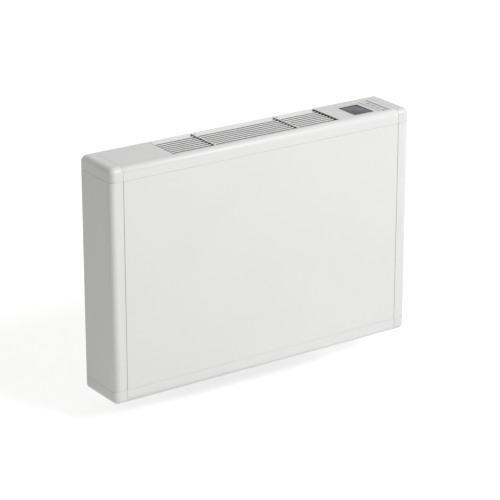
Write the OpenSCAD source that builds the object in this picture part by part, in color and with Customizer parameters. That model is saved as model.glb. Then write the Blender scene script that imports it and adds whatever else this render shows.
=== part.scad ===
// Slim wall-hung fan convector: a hot-water coil over a cross-flow fan in a bordered sheet casing,
// with a louvred outlet and a control pocket in its top.
// Millimetres. X runs along the front, Y from the front to the wall, Z upwards.
// The origin is the middle of the footprint, on the underside.

/* [Casing] */
// Width of the casing
casing_w = 800; // [700:5:1000]
// Height of the casing
casing_h = 544; // [520:2:640]
// Depth of the casing, from the front to the wall
casing_d = 120; // [108:1:140]
// Radius of the rounded outer edges
edge_r = 14; // [8:0.5:14]
// Width of the border around the front panel
border = 32; // [30:1:38]
// Thickness of the casing sheets
sheet_t = 1.5; // [1.2:0.1:2]
// Wall of the moulded corner caps
cap_t = 2; // [1.8:0.1:2.5]
// Width of the casing's inturned rear edges
rear_return = 14; // [12:1:16]
// Gap at each butt joint of the border
seam = 0.7; // [0.3:0.1:1]
// Length of the tongues that plug the caps into their neighbours
tongue_l = 8; // [6:1:10]
// Width of the tongues
tongue_w = 60; // [40:5:70]
// Thickness of the tongues
tongue_t = 1.5; // [1.2:0.1:2.5]

/* [Front panel] */
// Gap beside the front panel, left and right
panel_side_gap = 0.9; // [0.5:0.1:1.2]
// Gap above and below the front panel
panel_end_gap = 0.4; // [0.3:0.1:1]
// Depth of the seat behind the front face
seat_depth = 13; // [12:0.5:16]
// Width of the seat lip on the side panels
side_lip = 22; // [22:1:28]
// Width of the seat lip on the rails
rail_lip = 6; // [4:1:10]
// Distance from the front panel's side to the studs
stud_inset = 12; // [11:0.5:12]
// Height of the lower studs above the underside
stud_low = 92; // [60:2:120]
// Distance from the top to the upper studs
stud_high = 92; // [60:2:120]
// Radius of the stud's ball
stud_ball_r = 3.5; // [3:0.1:4]
// Radius of the stud's shank
stud_shank_r = 2.2; // [1.8:0.1:2.6]
// Radius of the stud's base
stud_base_r = 7; // [6:0.5:8]
// Thickness of the stud's base
stud_base_t = 1.5; // [1:0.1:2]
// Radius of the catch's barrel
catch_r = 5.6; // [5.2:0.1:6]
// Radius of the catch's flange
catch_flange_r = 8; // [7:0.5:8.5]
// Length of the catch's barrel behind the seat
catch_l = 8; // [7:0.5:10]
// Width of the stiffening bars behind the front panel
stiffener_w = 30; // [20:1:40]

/* [Outlet] */
// Distance from the left side to the outlet
outlet_left = 169; // [152:1:190]
// Distance from the outlet to the right side
outlet_right = 189; // [166:1:212]
// Distance from the front to the outlet
outlet_front = 17; // [16:0.5:17]
// Distance from the outlet to the wall
outlet_rear = 11; // [11:0.5:14]
// Width of the sloped edge behind the outlet
slope_w = 8; // [5:0.5:8]
// Depth of the collar below the outlet
collar_h = 14; // [12:0.5:20]
// Number of louvre blades
blade_count = 8; // [6:1:9]
// Thickness of a louvre blade
blade_t = 2.6; // [2:0.1:3.2]
// Height of a louvre blade
blade_h = 11; // [9:0.5:13]
// Distance from the top face down to the blades
blade_drop = 2; // [1.5:0.5:4]
// Forward lean of the blades in degrees
blade_lean = 20; // [0:1:22]
// Thickness of the cross ribs
rib_t = 3; // [2:0.1:4]
// Share of the outlet's length at which the first rib stands
rib_share = 0.25; // [0.2:0.01:0.33]
// Thickness of the strips on top of the cross ribs
rib_strip_t = 1.2; // [0.8:0.1:1.4]
// Thickness of the comb plates at the outlet's ends
comb_end_t = 2; // [1.5:0.1:3]
// Width of the fine groove along the slope
slope_groove = 0.6; // [0.4:0.1:0.8]

/* [Control pocket] */
// Distance from the right side to the control pocket
pocket_right = 47; // [46:1:50]
// Length of the control pocket
pocket_w = 103; // [100:1:105]
// Distance from the front to the control pocket
pocket_front = 15; // [15:0.5:17]
// Distance from the control pocket to the wall
pocket_rear = 16; // [14:0.5:18]
// Thickness of the bezel
bezel_t = 2; // [1.5:0.1:2.5]
// Overlap of the bezel under the rail
bezel_lap = 4; // [3:0.5:5]
// Distance from the top face down to the bezel's face
bezel_drop = 0.5; // [0.4:0.1:0.8]
// Width of the open slot at the right end of the bezel
bezel_slot = 1.5; // [1:0.1:2]
// Distance from the pocket's left end to the display window
window_left = 11; // [8:0.5:12]
// Length of the display window
window_w = 54; // [48:0.5:55]
// Distance from the pocket's front edge to the display window
window_front = 9; // [7:0.5:11]
// Distance from the display window to the pocket's rear edge
window_rear = 15; // [12:0.5:18]
// Thickness of the clear window
window_t = 1; // [0.6:0.1:1.2]
// Width of the black frame around the display window
display_frame_w = 1.2; // [0.8:0.1:1.5]
// Distance from the pocket's right end to the row of buttons
button_right = 12; // [11:0.5:13]
// Width of a button
button_w = 8; // [6:0.5:9]
// Depth of a button, front to rear
button_d = 10; // [7:0.5:12]
// Distance between buttons
button_pitch = 19; // [17:0.5:20]
// Distance from the pocket's front edge to the first button
button_front = 7; // [7:0.5:10]
// Height of the buttons above the bezel
button_rise = 0.4; // [0.2:0.1:0.4]
// Travel of a button
button_travel = 0.6; // [0.3:0.1:0.8]
// Width of the groove between window and buttons
groove_w = 2; // [1:0.1:2.5]

/* [Back plate] */
// Thickness of the back plate
back_t = 1.5; // [1.2:0.1:2]
// Distance between the wall holes along the casing
wall_hole_span = 660; // [640:2:670]
// Height of the lower wall holes
wall_hole_low = 45; // [40:1:50]
// Distance between the lower and upper wall holes
wall_hole_rise = 410; // [380:2:420]
// Radius of the wall holes
wall_hole_r = 4.5; // [3.5:0.5:5]
// Width of the pipe entries
entry_w = 90; // [80:1:92]
// Height of the pipe entry in the back plate
entry_h = 110; // [90:1:120]
// Height of the lower edge of the rear pipe entry
entry_low = 62; // [58:1:70]
// Depth of the pipe entry in the underside, front to rear
entry_d = 60; // [50:1:62]
// Width of the cable entry in the underside
cable_entry_w = 60; // [40:1:80]
// Depth of the cable entry in the underside, front to rear
cable_entry_d = 40; // [36:1:60]
// Radius of the rivet shanks
rivet_r = 2; // [1.6:0.1:2.4]
// Radius of the rivet heads
rivet_head_r = 3.8; // [3.2:0.1:4.4]

/* [Duct] */
// Thickness of the inner sheets
inner_t = 1.2; // [1:0.1:1.5]
// Width of the folded flanges of the bulkheads
flange_w = 14; // [12:1:16]
// Height of the bulkheads' lower edge
bulkhead_low = 18; // [17:0.5:20]

/* [Fan] */
// Gap between the impeller and the front of the duct
fan_front_gap = 14; // [14:0.5:17]
// Radial length of the impeller blades
fan_blade_l = 7; // [5:0.5:8]
// Thickness of the impeller blades
fan_blade_t = 1; // [0.8:0.1:1.2]
// Radius of curvature of the impeller blades
fan_blade_r = 8; // [7:0.5:10]
// Number of impeller blades
fan_blade_count = 24; // [16:1:28]
// Number of bays along the impeller
fan_bays = 4; // [2:1:5]
// Thickness of the impeller rings
fan_ring_t = 2; // [1.5:0.1:3]
// Gap between the impeller and the bulkheads
fan_end_gap = 7; // [6:0.5:9]
// Height of the fan's axis
fan_axis_z = 84; // [80:1:90]
// Radius of the shafts
shaft_r = 4; // [3:0.1:5]
// Running clearance of the shafts
shaft_clear = 0.05; // [0.02:0.01:0.1]
// Outer radius of the bearing
bearing_r = 11; // [9:0.5:12]
// Width of the bearing
bearing_w = 7; // [6:0.5:9]
// Radius of the motor
motor_r = 29; // [24:1:30]
// Length of the motor
motor_l = 58; // [45:1:65]

/* [Coil] */
// Tubes side by side in the coil
coil_columns = 4; // [3:1:5]
// Gap between the coil's fins and the duct, in front and behind
coil_side_gap = 3; // [2:0.5:4]
// Outer radius of the coil tubes
tube_r = 4.8; // [4:0.1:5.5]
// Height of the coil's lower edge
coil_low = 215; // [180:1:260]
// Distance between fins
fin_pitch = 8; // [7:0.5:12]
// Thickness of a fin
fin_t = 0.5; // [0.3:0.1:0.8]
// Inside radius of the collars in the fins beyond the tubes
fin_clear = 0.1; // [0.05:0.05:0.2]
// Thickness of the coil's end plates
coil_plate_t = 1.5; // [1:0.1:2]

/* [Pipework] */
// Radius of the flow and return pipes
pipe_r = 7; // [6:0.5:7.5]
// Bend radius of the pipes at their middle line
pipe_bend_r = 14; // [12:0.5:16]
// Distance from the left bulkhead to the flow pipe
flow_out = 36; // [34:1:38]
// Distance between the flow and return pipes
pipe_gap = 42; // [38:1:44]
// Height of the valves' lower ends
valve_low = 78; // [70:1:90]
// Radius of the valve bodies
valve_r = 12; // [11:0.5:13]
// Height of the valve bodies
valve_h = 46; // [40:1:60]
// Radius of the valves' threaded bores
thread_r = 9.3; // [8:0.1:9.5]
// Depth of the valves' threaded bores
thread_l = 14; // [12:0.5:16]
// Length of the valve levers
lever_l = 30; // [24:1:34]
// Height of the air vent's axis above the coil
vent_rise = 50; // [40:1:70]

/* [Controls] */
// Width of the control box
box_w = 110; // [100:1:120]
// Height of the control box
box_h = 170; // [150:2:180]
// Depth of the control box
box_d = 52; // [46:1:56]
// Height of the control box's underside
box_low = 160; // [150:1:180]
// Wall of the control box
box_t = 2; // [1.6:0.1:2.5]
// Radius of the cable gland's bore
gland_r = 4; // [3:0.5:5]
// Length of the cable gland
gland_l = 24; // [20:1:30]

/* [Filter] */
// Thickness of the filter cassette
filter_t = 12; // [10:0.5:14]
// Width of the cassette's bars
filter_bar = 9; // [7:0.5:12]
// Number of bays in the cassette
filter_bays = 6; // [4:1:8]

/* [Hidden] */
$fn = 48;

// Colours, as the photograph shows the casing and as such products have inside
casing_white = [0.90, 0.90, 0.89];
cap_white = [0.87, 0.88, 0.86];
bezel_white = [0.86, 0.87, 0.90];
button_grey = [0.80, 0.80, 0.84];
display_grey = [0.44, 0.46, 0.46];
zinc = [0.72, 0.74, 0.76];
moulded_black = [0.14, 0.14, 0.15];
motor_grey = [0.30, 0.31, 0.33];
copper = [0.78, 0.45, 0.28];
brass_yellow = [0.78, 0.64, 0.34];
fin_silver = [0.80, 0.82, 0.84];
lever_red = [0.72, 0.16, 0.14];
lever_blue = [0.15, 0.30, 0.62];
board_green = [0.16, 0.40, 0.24];
terminal_white = [0.86, 0.86, 0.84];
ribbon_grey = [0.82, 0.82, 0.80];
net_grey = [0.35, 0.36, 0.38];

// Gap between neighbouring pieces, gap of a close seat, and how far a cutting shape runs past a face
slip = 0.3;
close_fit = 0.1;
cut = 1;

// Outer faces and the seams around the front panel
left_x = -casing_w / 2;
right_x = casing_w / 2;
front_y = -casing_d / 2;
wall_y = casing_d / 2;
seam_x = right_x - border;
rail_w = 2 * seam_x - seam;
side_low = border + seam / 2;
side_h = casing_h - 2 * side_low;

// Front panel, its seat and its studs
panel_w = 2 * (seam_x - panel_side_gap);
panel_low = border + panel_end_gap;
panel_h = casing_h - 2 * panel_low;
panel_depth = seat_depth - sheet_t - slip;
seat_y = front_y + seat_depth;
lip_y = seat_y - sheet_t;
stud_x = seam_x - stud_inset;
stud_zs = [stud_low, casing_h - stud_high];
stud_ball_y = lip_y + catch_l / 2;
catch_flange_t = 1;
catch_slit = 1;
stiffener_h = 7;
stiffener_t = 1;
stiffener_foot = 7;
stiffener_end = 24;

// Outlet, which the duct, the coil, the fan and the intake line up with
outlet_w = casing_w - outlet_left - outlet_right;
outlet_x0 = left_x + outlet_left;
outlet_x1 = outlet_x0 + outlet_w;
outlet_y0 = front_y + outlet_front;
outlet_y1 = wall_y - outlet_rear;
outlet_d = outlet_y1 - outlet_y0;
collar_low = casing_h - collar_h;
blade_top = casing_h - blade_drop;
blade_low = blade_top - blade_h;
rib_xs = [outlet_x0 + rib_share * outlet_w, outlet_x1 - rib_share * outlet_w];
blade_ys = [for (k = [0:blade_count - 1]) outlet_y0 + (k + 0.5) * outlet_d / blade_count];
comb_rim = 2;
comb_low = blade_low - comb_rim;
slope_end = outlet_y1 + slope_w - slip * sqrt(2);
comb_end_drop = 0.6;
clip_slot_w = 3;
clip_slot_d = 2;
clip_slot_out = 8;
clip_slot_in = 3;

// Control pocket
pocket_x1 = right_x - pocket_right;
pocket_x0 = pocket_x1 - pocket_w;
pocket_y0 = front_y + pocket_front;
pocket_y1 = wall_y - pocket_rear;
bezel_top = casing_h - sheet_t;
bezel_low = bezel_top - bezel_t;
bezel_face = casing_h - bezel_drop;
bezel_y0 = max(pocket_y0 - bezel_lap, front_y + edge_r);
window_x0 = pocket_x0 + window_left;
window_x1 = window_x0 + window_w;
window_y0 = pocket_y0 + window_front;
window_y1 = pocket_y1 - window_rear;
window_gap = 0.2;
module_lap = 3;
module_h = 7;
board_top = bezel_low - module_h;
board_t = 1.6;
board_low = board_top - board_t;
board_pillar_r = 2.5;
board_pillar_out = 1;
board_edge = 3;
button_x = pocket_x1 - button_right;
button_ys = [for (k = [0:3]) pocket_y0 + button_front + k * button_pitch];
button_corner = 2;
button_flange_t = 1;
button_flange = 1.2;
switch_w = 6;
switch_h = 3.5;
switch_plunger_h = 1;
switch_plunger_r = 1.6;
groove_x = (window_x1 + button_x - groove_w) / 2;
groove_end = 2;
groove_depth = 1.5;

// Back plate and its fixings
back_front_y = wall_y - sheet_t - back_t;
back_gap = 0.5;
back_half = right_x - cap_t - back_gap;
back_low = cap_t + back_gap;
back_r = edge_r - back_low;
wall_hole_zs = [wall_hole_low, wall_hole_low + wall_hole_rise];
entry_gap = 4;
entry_rear = 12;
entry_x1 = outlet_x0 - inner_t - flange_w - entry_gap;
entry_x0 = entry_x1 - entry_w;
entry_y1 = wall_y - entry_rear;
entry_y0 = entry_y1 - entry_d;
rivet_head_h = 1.6;
rivet_side_x = right_x - rear_return / 2;
rivet_side_end = 30;
rivet_side_zs = [for (k = [-1:1]) casing_h / 2 + k * (casing_h / 2 - border - rivet_side_end)];
rivet_rail_end = 40;
rivet_rail_x = seam_x - rivet_rail_end;
rivet_rail_zs = [rear_return / 2, casing_h - rear_return / 2];

// Duct
duct_step = 1;
duct_y0 = outlet_y0 - duct_step;
duct_y1 = outlet_y1 + duct_step;
bulkhead_top = collar_low - slip;
flange_x0 = outlet_x0 - inner_t - flange_w;
flange_x1 = outlet_x1 + inner_t + flange_w;
screw_r = 1.6;
screw_head_r = 3.5;
screw_head_h = 1.8;
screw_l = 5;
screw_end = 22;
screw_zs = [bulkhead_low + screw_end, (bulkhead_low + bulkhead_top) / 2, bulkhead_top - screw_end];

// Fan: the impeller, the scroll wall behind it and the tongue in front of it
fan_r = -duct_y0 - fan_front_gap;
fan_x0 = outlet_x0 + fan_end_gap;
fan_x1 = outlet_x1 - fan_end_gap;
hub_r = 9;
hub_l = 12;
shaft_seat = 0.02;
scroll_gap = 3;
scroll_below = 10;
scroll_above = 46;
scroll_y = fan_r + scroll_gap;
scroll_z = fan_axis_z - scroll_below;
scroll_top = fan_axis_z + scroll_above;
scroll_run = duct_y1 - scroll_y;
scroll_rise = scroll_top - scroll_z;
scroll_r = (scroll_run * scroll_run + scroll_rise * scroll_rise) / (2 * scroll_run);
scroll_facets = 96;
tongue_nose_r = 2.5;
tongue_gap = 2;
tongue_above = 12;
tongue_y = -(fan_r + tongue_gap + tongue_nose_r);
tongue_z = fan_axis_z + tongue_above;
tongue_rise = 22;
bearing_wall = 2;
bearing_x = outlet_x0 - inner_t - bearing_w;
bracket_t = 2;
bracket_rim = 7;
bracket_r = motor_r + bracket_rim;
motor_x0 = outlet_x1 + inner_t + bracket_t;
motor_nose = 22;
motor_cap_l = 10;
motor_step = 3;

// Coil
coil_rows = 2;
coil_y0 = duct_y0 + coil_side_gap;
coil_d = duct_y1 - duct_y0 - 2 * coil_side_gap;
tube_pitch = coil_d / coil_columns;
coil_h = coil_rows * tube_pitch;
coil_plate_lap = 6;
window_margin = 3;
tube_out = 6;
tube_lead = 4;
row_zs = [for (k = [0:coil_rows - 1]) coil_low + (k + 0.5) * tube_pitch];
column_ys = [for (k = [0:coil_columns - 1]) coil_y0 + (k + 0.5) * tube_pitch];
last_column = coil_columns - 1;
tube_facets = 24;
fin_span = outlet_w - 2 * coil_plate_t;
fin_count = floor(fin_span / fin_pitch);

// Pipework, hung on the coil's rearmost tubes
pipe_y = column_ys[last_column];
pipe_start_x = outlet_x0 - tube_out - tube_lead;
flow_x = outlet_x0 - inner_t - flow_out;
return_x = flow_x - pipe_gap;
valve_top = valve_low + valve_h;
valve_mid = valve_low + valve_h / 2;
nut_rim = 1.5;
nut_r = valve_r + nut_rim;
nut_h = 10;
boss_r = 6;
boss_l = 6;
valve_face_y = pipe_y - valve_r - boss_l;
lever_hub_r = 5.5;
lever_hub_l = 6;
lever_w = 8;
lever_t = 3;
pivot_r = 2;
pivot_l = 4;
riser_r = 5;
vent_x = (return_x + flow_x) / 2;
vent_z = row_zs[1] + vent_rise;
vent_r = 8;
vent_h = 16;
vent_boss_r = 5;
vent_boss_l = 5;
vent_face_y = pipe_y - vent_r - vent_boss_l;
vent_head_w = 5;
vent_head_l = 5;

// Control box
box_gap = 10;
box_x0 = flange_x1 + box_gap;
box_y0 = back_front_y - box_d;
box_x1 = box_x0 + box_w;
box_top = box_low + box_h;
gland_x = box_x0 + box_w / 2;
gland_y = box_y0 + box_d / 2;
gland_wall = 5;
gland_outer_r = gland_r + gland_wall;
gland_nut_rim = 2.5;
gland_nut_r = gland_outer_r + gland_nut_rim;
gland_nut_h = 6;
lid_rim = 4;
main_pillar_l = 7;
main_pillar_r = 3;
main_pillar_in = 4;
main_board_y = back_front_y - box_t - main_pillar_l;
main_board_edge = 5;
main_board_in = box_t + main_board_edge;
main_board_w = box_w - 2 * main_board_in;
main_board_h = box_h - 2 * main_board_in;
board_part_in = 10;
transformer_w = 36;
transformer_d = 22;
transformer_h = 30;
relay_w = 20;
relay_d = 16;
relay_h = 24;
relay_gap = 12;
capacitor_r = 6;
capacitor_l = 18;
capacitor_pitch = 22;
capacitor_drop = 16;
terminal_w = 60;
terminal_h = 18;
terminal_d = 16;
terminal_up = 12;
terminal_poles = 6;
terminal_pole_w = terminal_w / terminal_poles;
terminal_hole_r = 2;
terminal_slot_w = 6;
ribbon_w = 14;
ribbon_t = 1;

// Filter cassette and the intake that it fills
filter_low = 1;
filter_gap = 0.6;
filter_x0 = outlet_x0 + filter_gap;
filter_w = outlet_w - 2 * filter_gap;
filter_y0 = outlet_y0 + filter_gap;
filter_d = outlet_d - 2 * filter_gap;
filter_bay_w = (filter_w - (filter_bays + 1) * filter_bar) / filter_bays;
filter_bay_xs = [for (k = [0:filter_bays - 1]) filter_x0 + filter_bar + k * (filter_bay_w + filter_bar)];
mesh_t = 1;
sensor_r = 3;
sensor_l = 20;
sensor_in = 60;
sensor_up = 8;
sensor_clip_w = 8;
sensor_clip_d = 3;

// A box between two opposite corners
module block(low, high) {
    translate(low) cube(high - low);
}

// A rod along X, Y or Z that starts at a point
module rod_x(start, length, r) {
    translate(start) rotate([0, 90, 0]) cylinder(h = length, r = r);
}

module rod_y(start, length, r) {
    translate(start) rotate([-90, 0, 0]) cylinder(h = length, r = r);
}

module rod_z(start, length, r) {
    translate(start) cylinder(h = length, r = r);
}

// A hexagon nut without its bore
module hexagon(start, height, r) {
    translate(start) cylinder(h = height, r = r, $fn = 6);
}

// A profile drawn in Y and Z, carried along X
module along_x(x, length) {
    translate([x, 0, 0]) rotate([90, 0, 90]) linear_extrude(length) children();
}

// The section of the border: a wall on the outside, a rounded edge, a front face, a return beside the
// front panel with the lip that the panel seats on, and an inturned edge at the wall
module border_section(lip) {
    translate([edge_r, 0]) square([border - edge_r, sheet_t]);
    intersection() {
        translate([edge_r, edge_r]) difference() {
            circle(edge_r);
            circle(edge_r - sheet_t);
        }
        square(edge_r);
    }
    translate([0, edge_r]) square([sheet_t, casing_d - edge_r]);
    translate([0, casing_d - sheet_t]) square([rear_return, sheet_t]);
    translate([border - sheet_t, 0]) square([sheet_t, seat_depth]);
    translate([border - sheet_t, seat_depth - sheet_t]) square([sheet_t + lip, sheet_t]);
}

module quarter_disc(r) {
    intersection() {
        circle(r);
        square(r);
    }
}

// A block whose three outer edges and the corner where they meet are rounded
module rounded_corner(w, d, h, r) {
    translate([r, r, 0]) cube([w - r, d - r, h]);
    translate([0, r, r]) cube([r, d - r, h - r]);
    translate([r, 0, r]) cube([w - r, r, h - r]);
    translate([r, r, r]) {
        rotate([90, 0, 90]) linear_extrude(w - r) rotate(180) quarter_disc(r);
        rotate([-90, 0, 0]) linear_extrude(d - r) rotate(90) quarter_disc(r);
        linear_extrude(h - r) rotate(180) quarter_disc(r);
        rotate(180) mirror([0, 0, 1]) rotate_extrude(angle = 90) quarter_disc(r);
    }
}

// A corner cap: a moulded shell with tongues that plug into the side panel and the rail
module corner_cap() {
    size = border - seam / 2;
    tongue_y0 = (casing_d - tongue_w) / 2;
    tongue_in = sheet_t + slip;
    difference() {
        rounded_corner(size, casing_d, size, edge_r);
        translate([cap_t, cap_t, cap_t])
            rounded_corner(border, casing_d - cap_t - sheet_t, border, edge_r - cap_t);
        translate([rear_return, casing_d - sheet_t - cut, rear_return]) cube(border);
    }
    translate([edge_r, tongue_y0, tongue_in]) cube([border + tongue_l - edge_r, tongue_w, tongue_t]);
    translate([tongue_in, tongue_y0, edge_r]) cube([tongue_t, tongue_w, border + tongue_l - edge_r]);
}

// The cap sits at a corner of the casing: side is -1 on the left, level is 0 below and 1 on top
module place_cap(side, level) {
    color(cap_white)
        translate([side * right_x, front_y, level * casing_h])
            mirror([side > 0 ? 1 : 0, 0, 0])
                mirror([0, 0, level])
                    corner_cap();
}

module front_panel() {
    color(casing_white) difference() {
        block([-panel_w / 2, front_y, panel_low], [panel_w / 2, front_y + panel_depth, panel_low + panel_h]);
        block([-panel_w / 2 + sheet_t, front_y + sheet_t, panel_low + sheet_t],
            [panel_w / 2 - sheet_t, front_y + panel_depth + cut, panel_low + panel_h - sheet_t]);
    }
}

// Hat-shaped bars that keep the sheet flat
module panel_stiffeners() {
    color(zinc) for (x = [-panel_w / 4, panel_w / 4])
        translate([x - stiffener_w / 2, front_y + sheet_t, panel_low + stiffener_end])
            linear_extrude(panel_h - 2 * stiffener_end) difference() {
                square([stiffener_w, stiffener_h]);
                translate([stiffener_foot, -cut])
                    square([stiffener_w - 2 * stiffener_foot, stiffener_h - stiffener_t + cut]);
                translate([-cut, stiffener_t])
                    square([stiffener_foot - stiffener_t + cut, stiffener_h]);
                translate([stiffener_w - stiffener_foot + stiffener_t, stiffener_t])
                    square([stiffener_foot, stiffener_h]);
            }
}

module panel_studs() {
    color(zinc) for (x = [-stud_x, stud_x], z = stud_zs) {
        rod_y([x, front_y + sheet_t, z], stud_base_t, stud_base_r);
        rod_y([x, front_y + sheet_t, z], stud_ball_y - front_y - sheet_t, stud_shank_r);
        translate([x, stud_ball_y, z]) sphere(stud_ball_r);
    }
}

// Slit barrels that snap over the balls of the studs
module panel_catches() {
    color(moulded_black) for (x = [-stud_x, stud_x], z = stud_zs) difference() {
        union() {
            rod_y([x, lip_y - catch_flange_t, z], catch_flange_t, catch_flange_r);
            rod_y([x, lip_y, z], catch_l, catch_r);
        }
        rod_y([x, lip_y - catch_flange_t - cut, z], catch_l + catch_flange_t + 2 * cut, stud_ball_r + slip);
        translate([x - catch_slit / 2, seat_y + cut, z - catch_r - cut])
            cube([catch_slit, catch_l, 2 * (catch_r + cut)]);
        translate([x - catch_r - cut, seat_y + cut, z - catch_slit / 2])
            cube([2 * (catch_r + cut), catch_l, catch_slit]);
    }
}

module left_side_panel() {
    color(casing_white) difference() {
        translate([left_x, front_y, side_low]) linear_extrude(side_h) border_section(side_lip);
        for (z = stud_zs) rod_y([-stud_x, lip_y - cut, z], sheet_t + 2 * cut, catch_r + close_fit);
        for (z = rivet_side_zs)
            rod_y([-rivet_side_x, wall_y - sheet_t - cut, z], sheet_t + 2 * cut, rivet_r + close_fit);
        for (z = [0, casing_h - border - rail_lip - slip])
            block([-seam_x, lip_y - cut, z], [0, seat_y + cut, z + border + rail_lip + slip]);
    }
}

module right_side_panel() {
    mirror([1, 0, 0]) left_side_panel();
}

// A rail of the border, drawn as the lower one
module rail() {
    difference() {
        translate([-rail_w / 2, front_y, 0]) mirror([0, 0, 1]) rotate([0, 90, 0])
            linear_extrude(rail_w) border_section(rail_lip);
        for (x = [-rivet_rail_x, rivet_rail_x])
            rod_y([x, wall_y - sheet_t - cut, rear_return / 2], sheet_t + 2 * cut, rivet_r + close_fit);
    }
}

// The collar round the outlet: upright walls and a slope at the rear, in outline and as the hole in it
module collar_outline() {
    mitre = sheet_t * (sqrt(2) - 1);
    polygon([[outlet_y0 - sheet_t, collar_low], [outlet_y1 + sheet_t, collar_low],
        [outlet_y1 + sheet_t, casing_h - slope_w - mitre],
        [outlet_y1 + slope_w + sheet_t * sqrt(2), casing_h], [outlet_y0 - sheet_t, casing_h]]);
}

module collar_hole() {
    polygon([[outlet_y0, collar_low - cut], [outlet_y1, collar_low - cut], [outlet_y1, casing_h - slope_w],
        [outlet_y1 + slope_w + cut, casing_h + cut], [outlet_y0, casing_h + cut]]);
}

module top_rail() {
    color(casing_white) difference() {
        union() {
            translate([0, 0, casing_h]) mirror([0, 0, 1]) rail();
            along_x(outlet_x0 - sheet_t, outlet_w + 2 * sheet_t) collar_outline();
        }
        along_x(outlet_x0, outlet_w) collar_hole();
        block([pocket_x0, pocket_y0, bezel_top - cut], [pocket_x1, pocket_y1, casing_h + cut]);
        along_x(outlet_x0, outlet_w)
            translate([outlet_y1 + slope_w / 2, casing_h - slope_w / 2]) rotate(45)
                square(slope_groove, center = true);
        for (x = rib_xs)
            translate([x + clip_slot_out - clip_slot_w / 2, outlet_y1 + slope_w - clip_slot_in, collar_low])
                cube([clip_slot_w, clip_slot_d, collar_h]);
    }
}

module bottom_rail() {
    color(casing_white) difference() {
        rail();
        block([outlet_x0, outlet_y0, -cut], [outlet_x1, outlet_y1, sheet_t + cut]);
        block([entry_x0, entry_y0, -cut], [entry_x1, entry_y1, sheet_t + cut]);
        block([gland_x - cable_entry_w / 2, entry_y1 - cable_entry_d, -cut],
            [gland_x + cable_entry_w / 2, entry_y1, sheet_t + cut]);
    }
}

module corner_cap_top_left() { place_cap(-1, 1); }

module corner_cap_top_right() { place_cap(1, 1); }

module corner_cap_bottom_left() { place_cap(-1, 0); }

module corner_cap_bottom_right() { place_cap(1, 0); }

// The section of a leaning blade with a rounded top, grown on all sides for the slot that holds it
module blade_section(grow) {
    rotate(blade_lean) {
        circle(blade_t / 2 + grow);
        translate([-blade_t / 2 - grow, blade_t / 2 - blade_h - grow])
            square([blade_t + 2 * grow, blade_h - blade_t / 2 + grow]);
    }
}

// The louvre: leaning blades, and the strips on the two cross ribs
module outlet_grille() {
    color(casing_white) {
        for (y = blade_ys) along_x(outlet_x0 + slip, outlet_w - 2 * slip)
            translate([y, blade_top - blade_t / 2]) blade_section(0);
        for (x = rib_xs) along_x(x - rib_t / 2, rib_t)
            polygon([[outlet_y0 + slip, casing_h - rib_strip_t],
                [slope_end - rib_strip_t, casing_h - rib_strip_t],
                [slope_end, casing_h], [outlet_y0 + slip, casing_h]]);
    }
}

// A plate with a slot for each blade, up to a distance below the top face
module comb_plate(drop) {
    difference() {
        polygon([[outlet_y0 + slip, comb_low], [outlet_y1 - slip, comb_low],
            [outlet_y1 - slip, casing_h - slope_w + slip * (sqrt(2) - 1)],
            [slope_end - drop, casing_h - drop], [outlet_y0 + slip, casing_h - drop]]);
        for (y = blade_ys) translate([y, blade_top - blade_t / 2]) blade_section(close_fit);
    }
}

// The plates that hold the blades: one under each rib's strip and one at each end of the outlet
module grille_combs() {
    color(moulded_black) {
        for (x = rib_xs) along_x(x - rib_t / 2, rib_t) comb_plate(rib_strip_t);
        for (x = [outlet_x0 + slip, outlet_x1 - slip - comb_end_t])
            along_x(x, comb_end_t) comb_plate(comb_end_drop);
    }
}

module rounded_plate(half_w, low, high, r) {
    translate([-half_w + r, low]) square([2 * (half_w - r), high - low]);
    translate([-half_w, low + r]) square([2 * half_w, high - low - 2 * r]);
    for (x = [-half_w + r, half_w - r], z = [low + r, high - r]) translate([x, z]) circle(r);
}

module back_plate() {
    color(zinc) difference() {
        translate([0, back_front_y + back_t, 0]) rotate([90, 0, 0]) linear_extrude(back_t)
            rounded_plate(back_half, back_low, casing_h - back_low, back_r);
        for (x = [-wall_hole_span / 2, wall_hole_span / 2], z = wall_hole_zs)
            rod_y([x, back_front_y - cut, z], back_t + 2 * cut, wall_hole_r);
        for (x = [-rivet_side_x, rivet_side_x], z = rivet_side_zs)
            rod_y([x, back_front_y - cut, z], back_t + 2 * cut, rivet_r + close_fit);
        for (x = [-rivet_rail_x, rivet_rail_x], z = rivet_rail_zs)
            rod_y([x, back_front_y - cut, z], back_t + 2 * cut, rivet_r + close_fit);
        for (x = [flange_x0 + flange_w / 2, flange_x1 - flange_w / 2], z = screw_zs)
            rod_y([x, back_front_y - cut, z], back_t + 2 * cut, screw_r + close_fit);
        block([entry_x0, back_front_y - cut, entry_low], [entry_x1, wall_y, entry_low + entry_h]);
    }
}

module rivet(x, z) {
    rod_y([x, back_front_y - rivet_head_h, z], rivet_head_h, rivet_head_r);
    rod_y([x, back_front_y - rivet_head_h, z], rivet_head_h + back_t + sheet_t, rivet_r);
}

module casing_rivets() {
    color(zinc) {
        for (x = [-rivet_side_x, rivet_side_x], z = rivet_side_zs) rivet(x, z);
        for (x = [-rivet_rail_x, rivet_rail_x], z = rivet_rail_zs) rivet(x, z);
    }
}

// Pan-head screws in the bulkheads' rear flanges, and through the front duct plate into their front flanges
module frame_screws() {
    color(zinc) for (x = [flange_x0 + flange_w / 2, flange_x1 - flange_w / 2], z = screw_zs) {
        rod_y([x, back_front_y - inner_t - screw_head_h, z], screw_head_h, screw_head_r);
        rod_y([x, back_front_y - inner_t - screw_head_h, z], screw_head_h + inner_t + back_t, screw_r);
        rod_y([x, duct_y0 - inner_t - screw_head_h, z], screw_head_h, screw_head_r);
        rod_y([x, duct_y0 - inner_t - screw_head_h, z], screw_head_h + screw_l, screw_r);
    }
}

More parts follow.
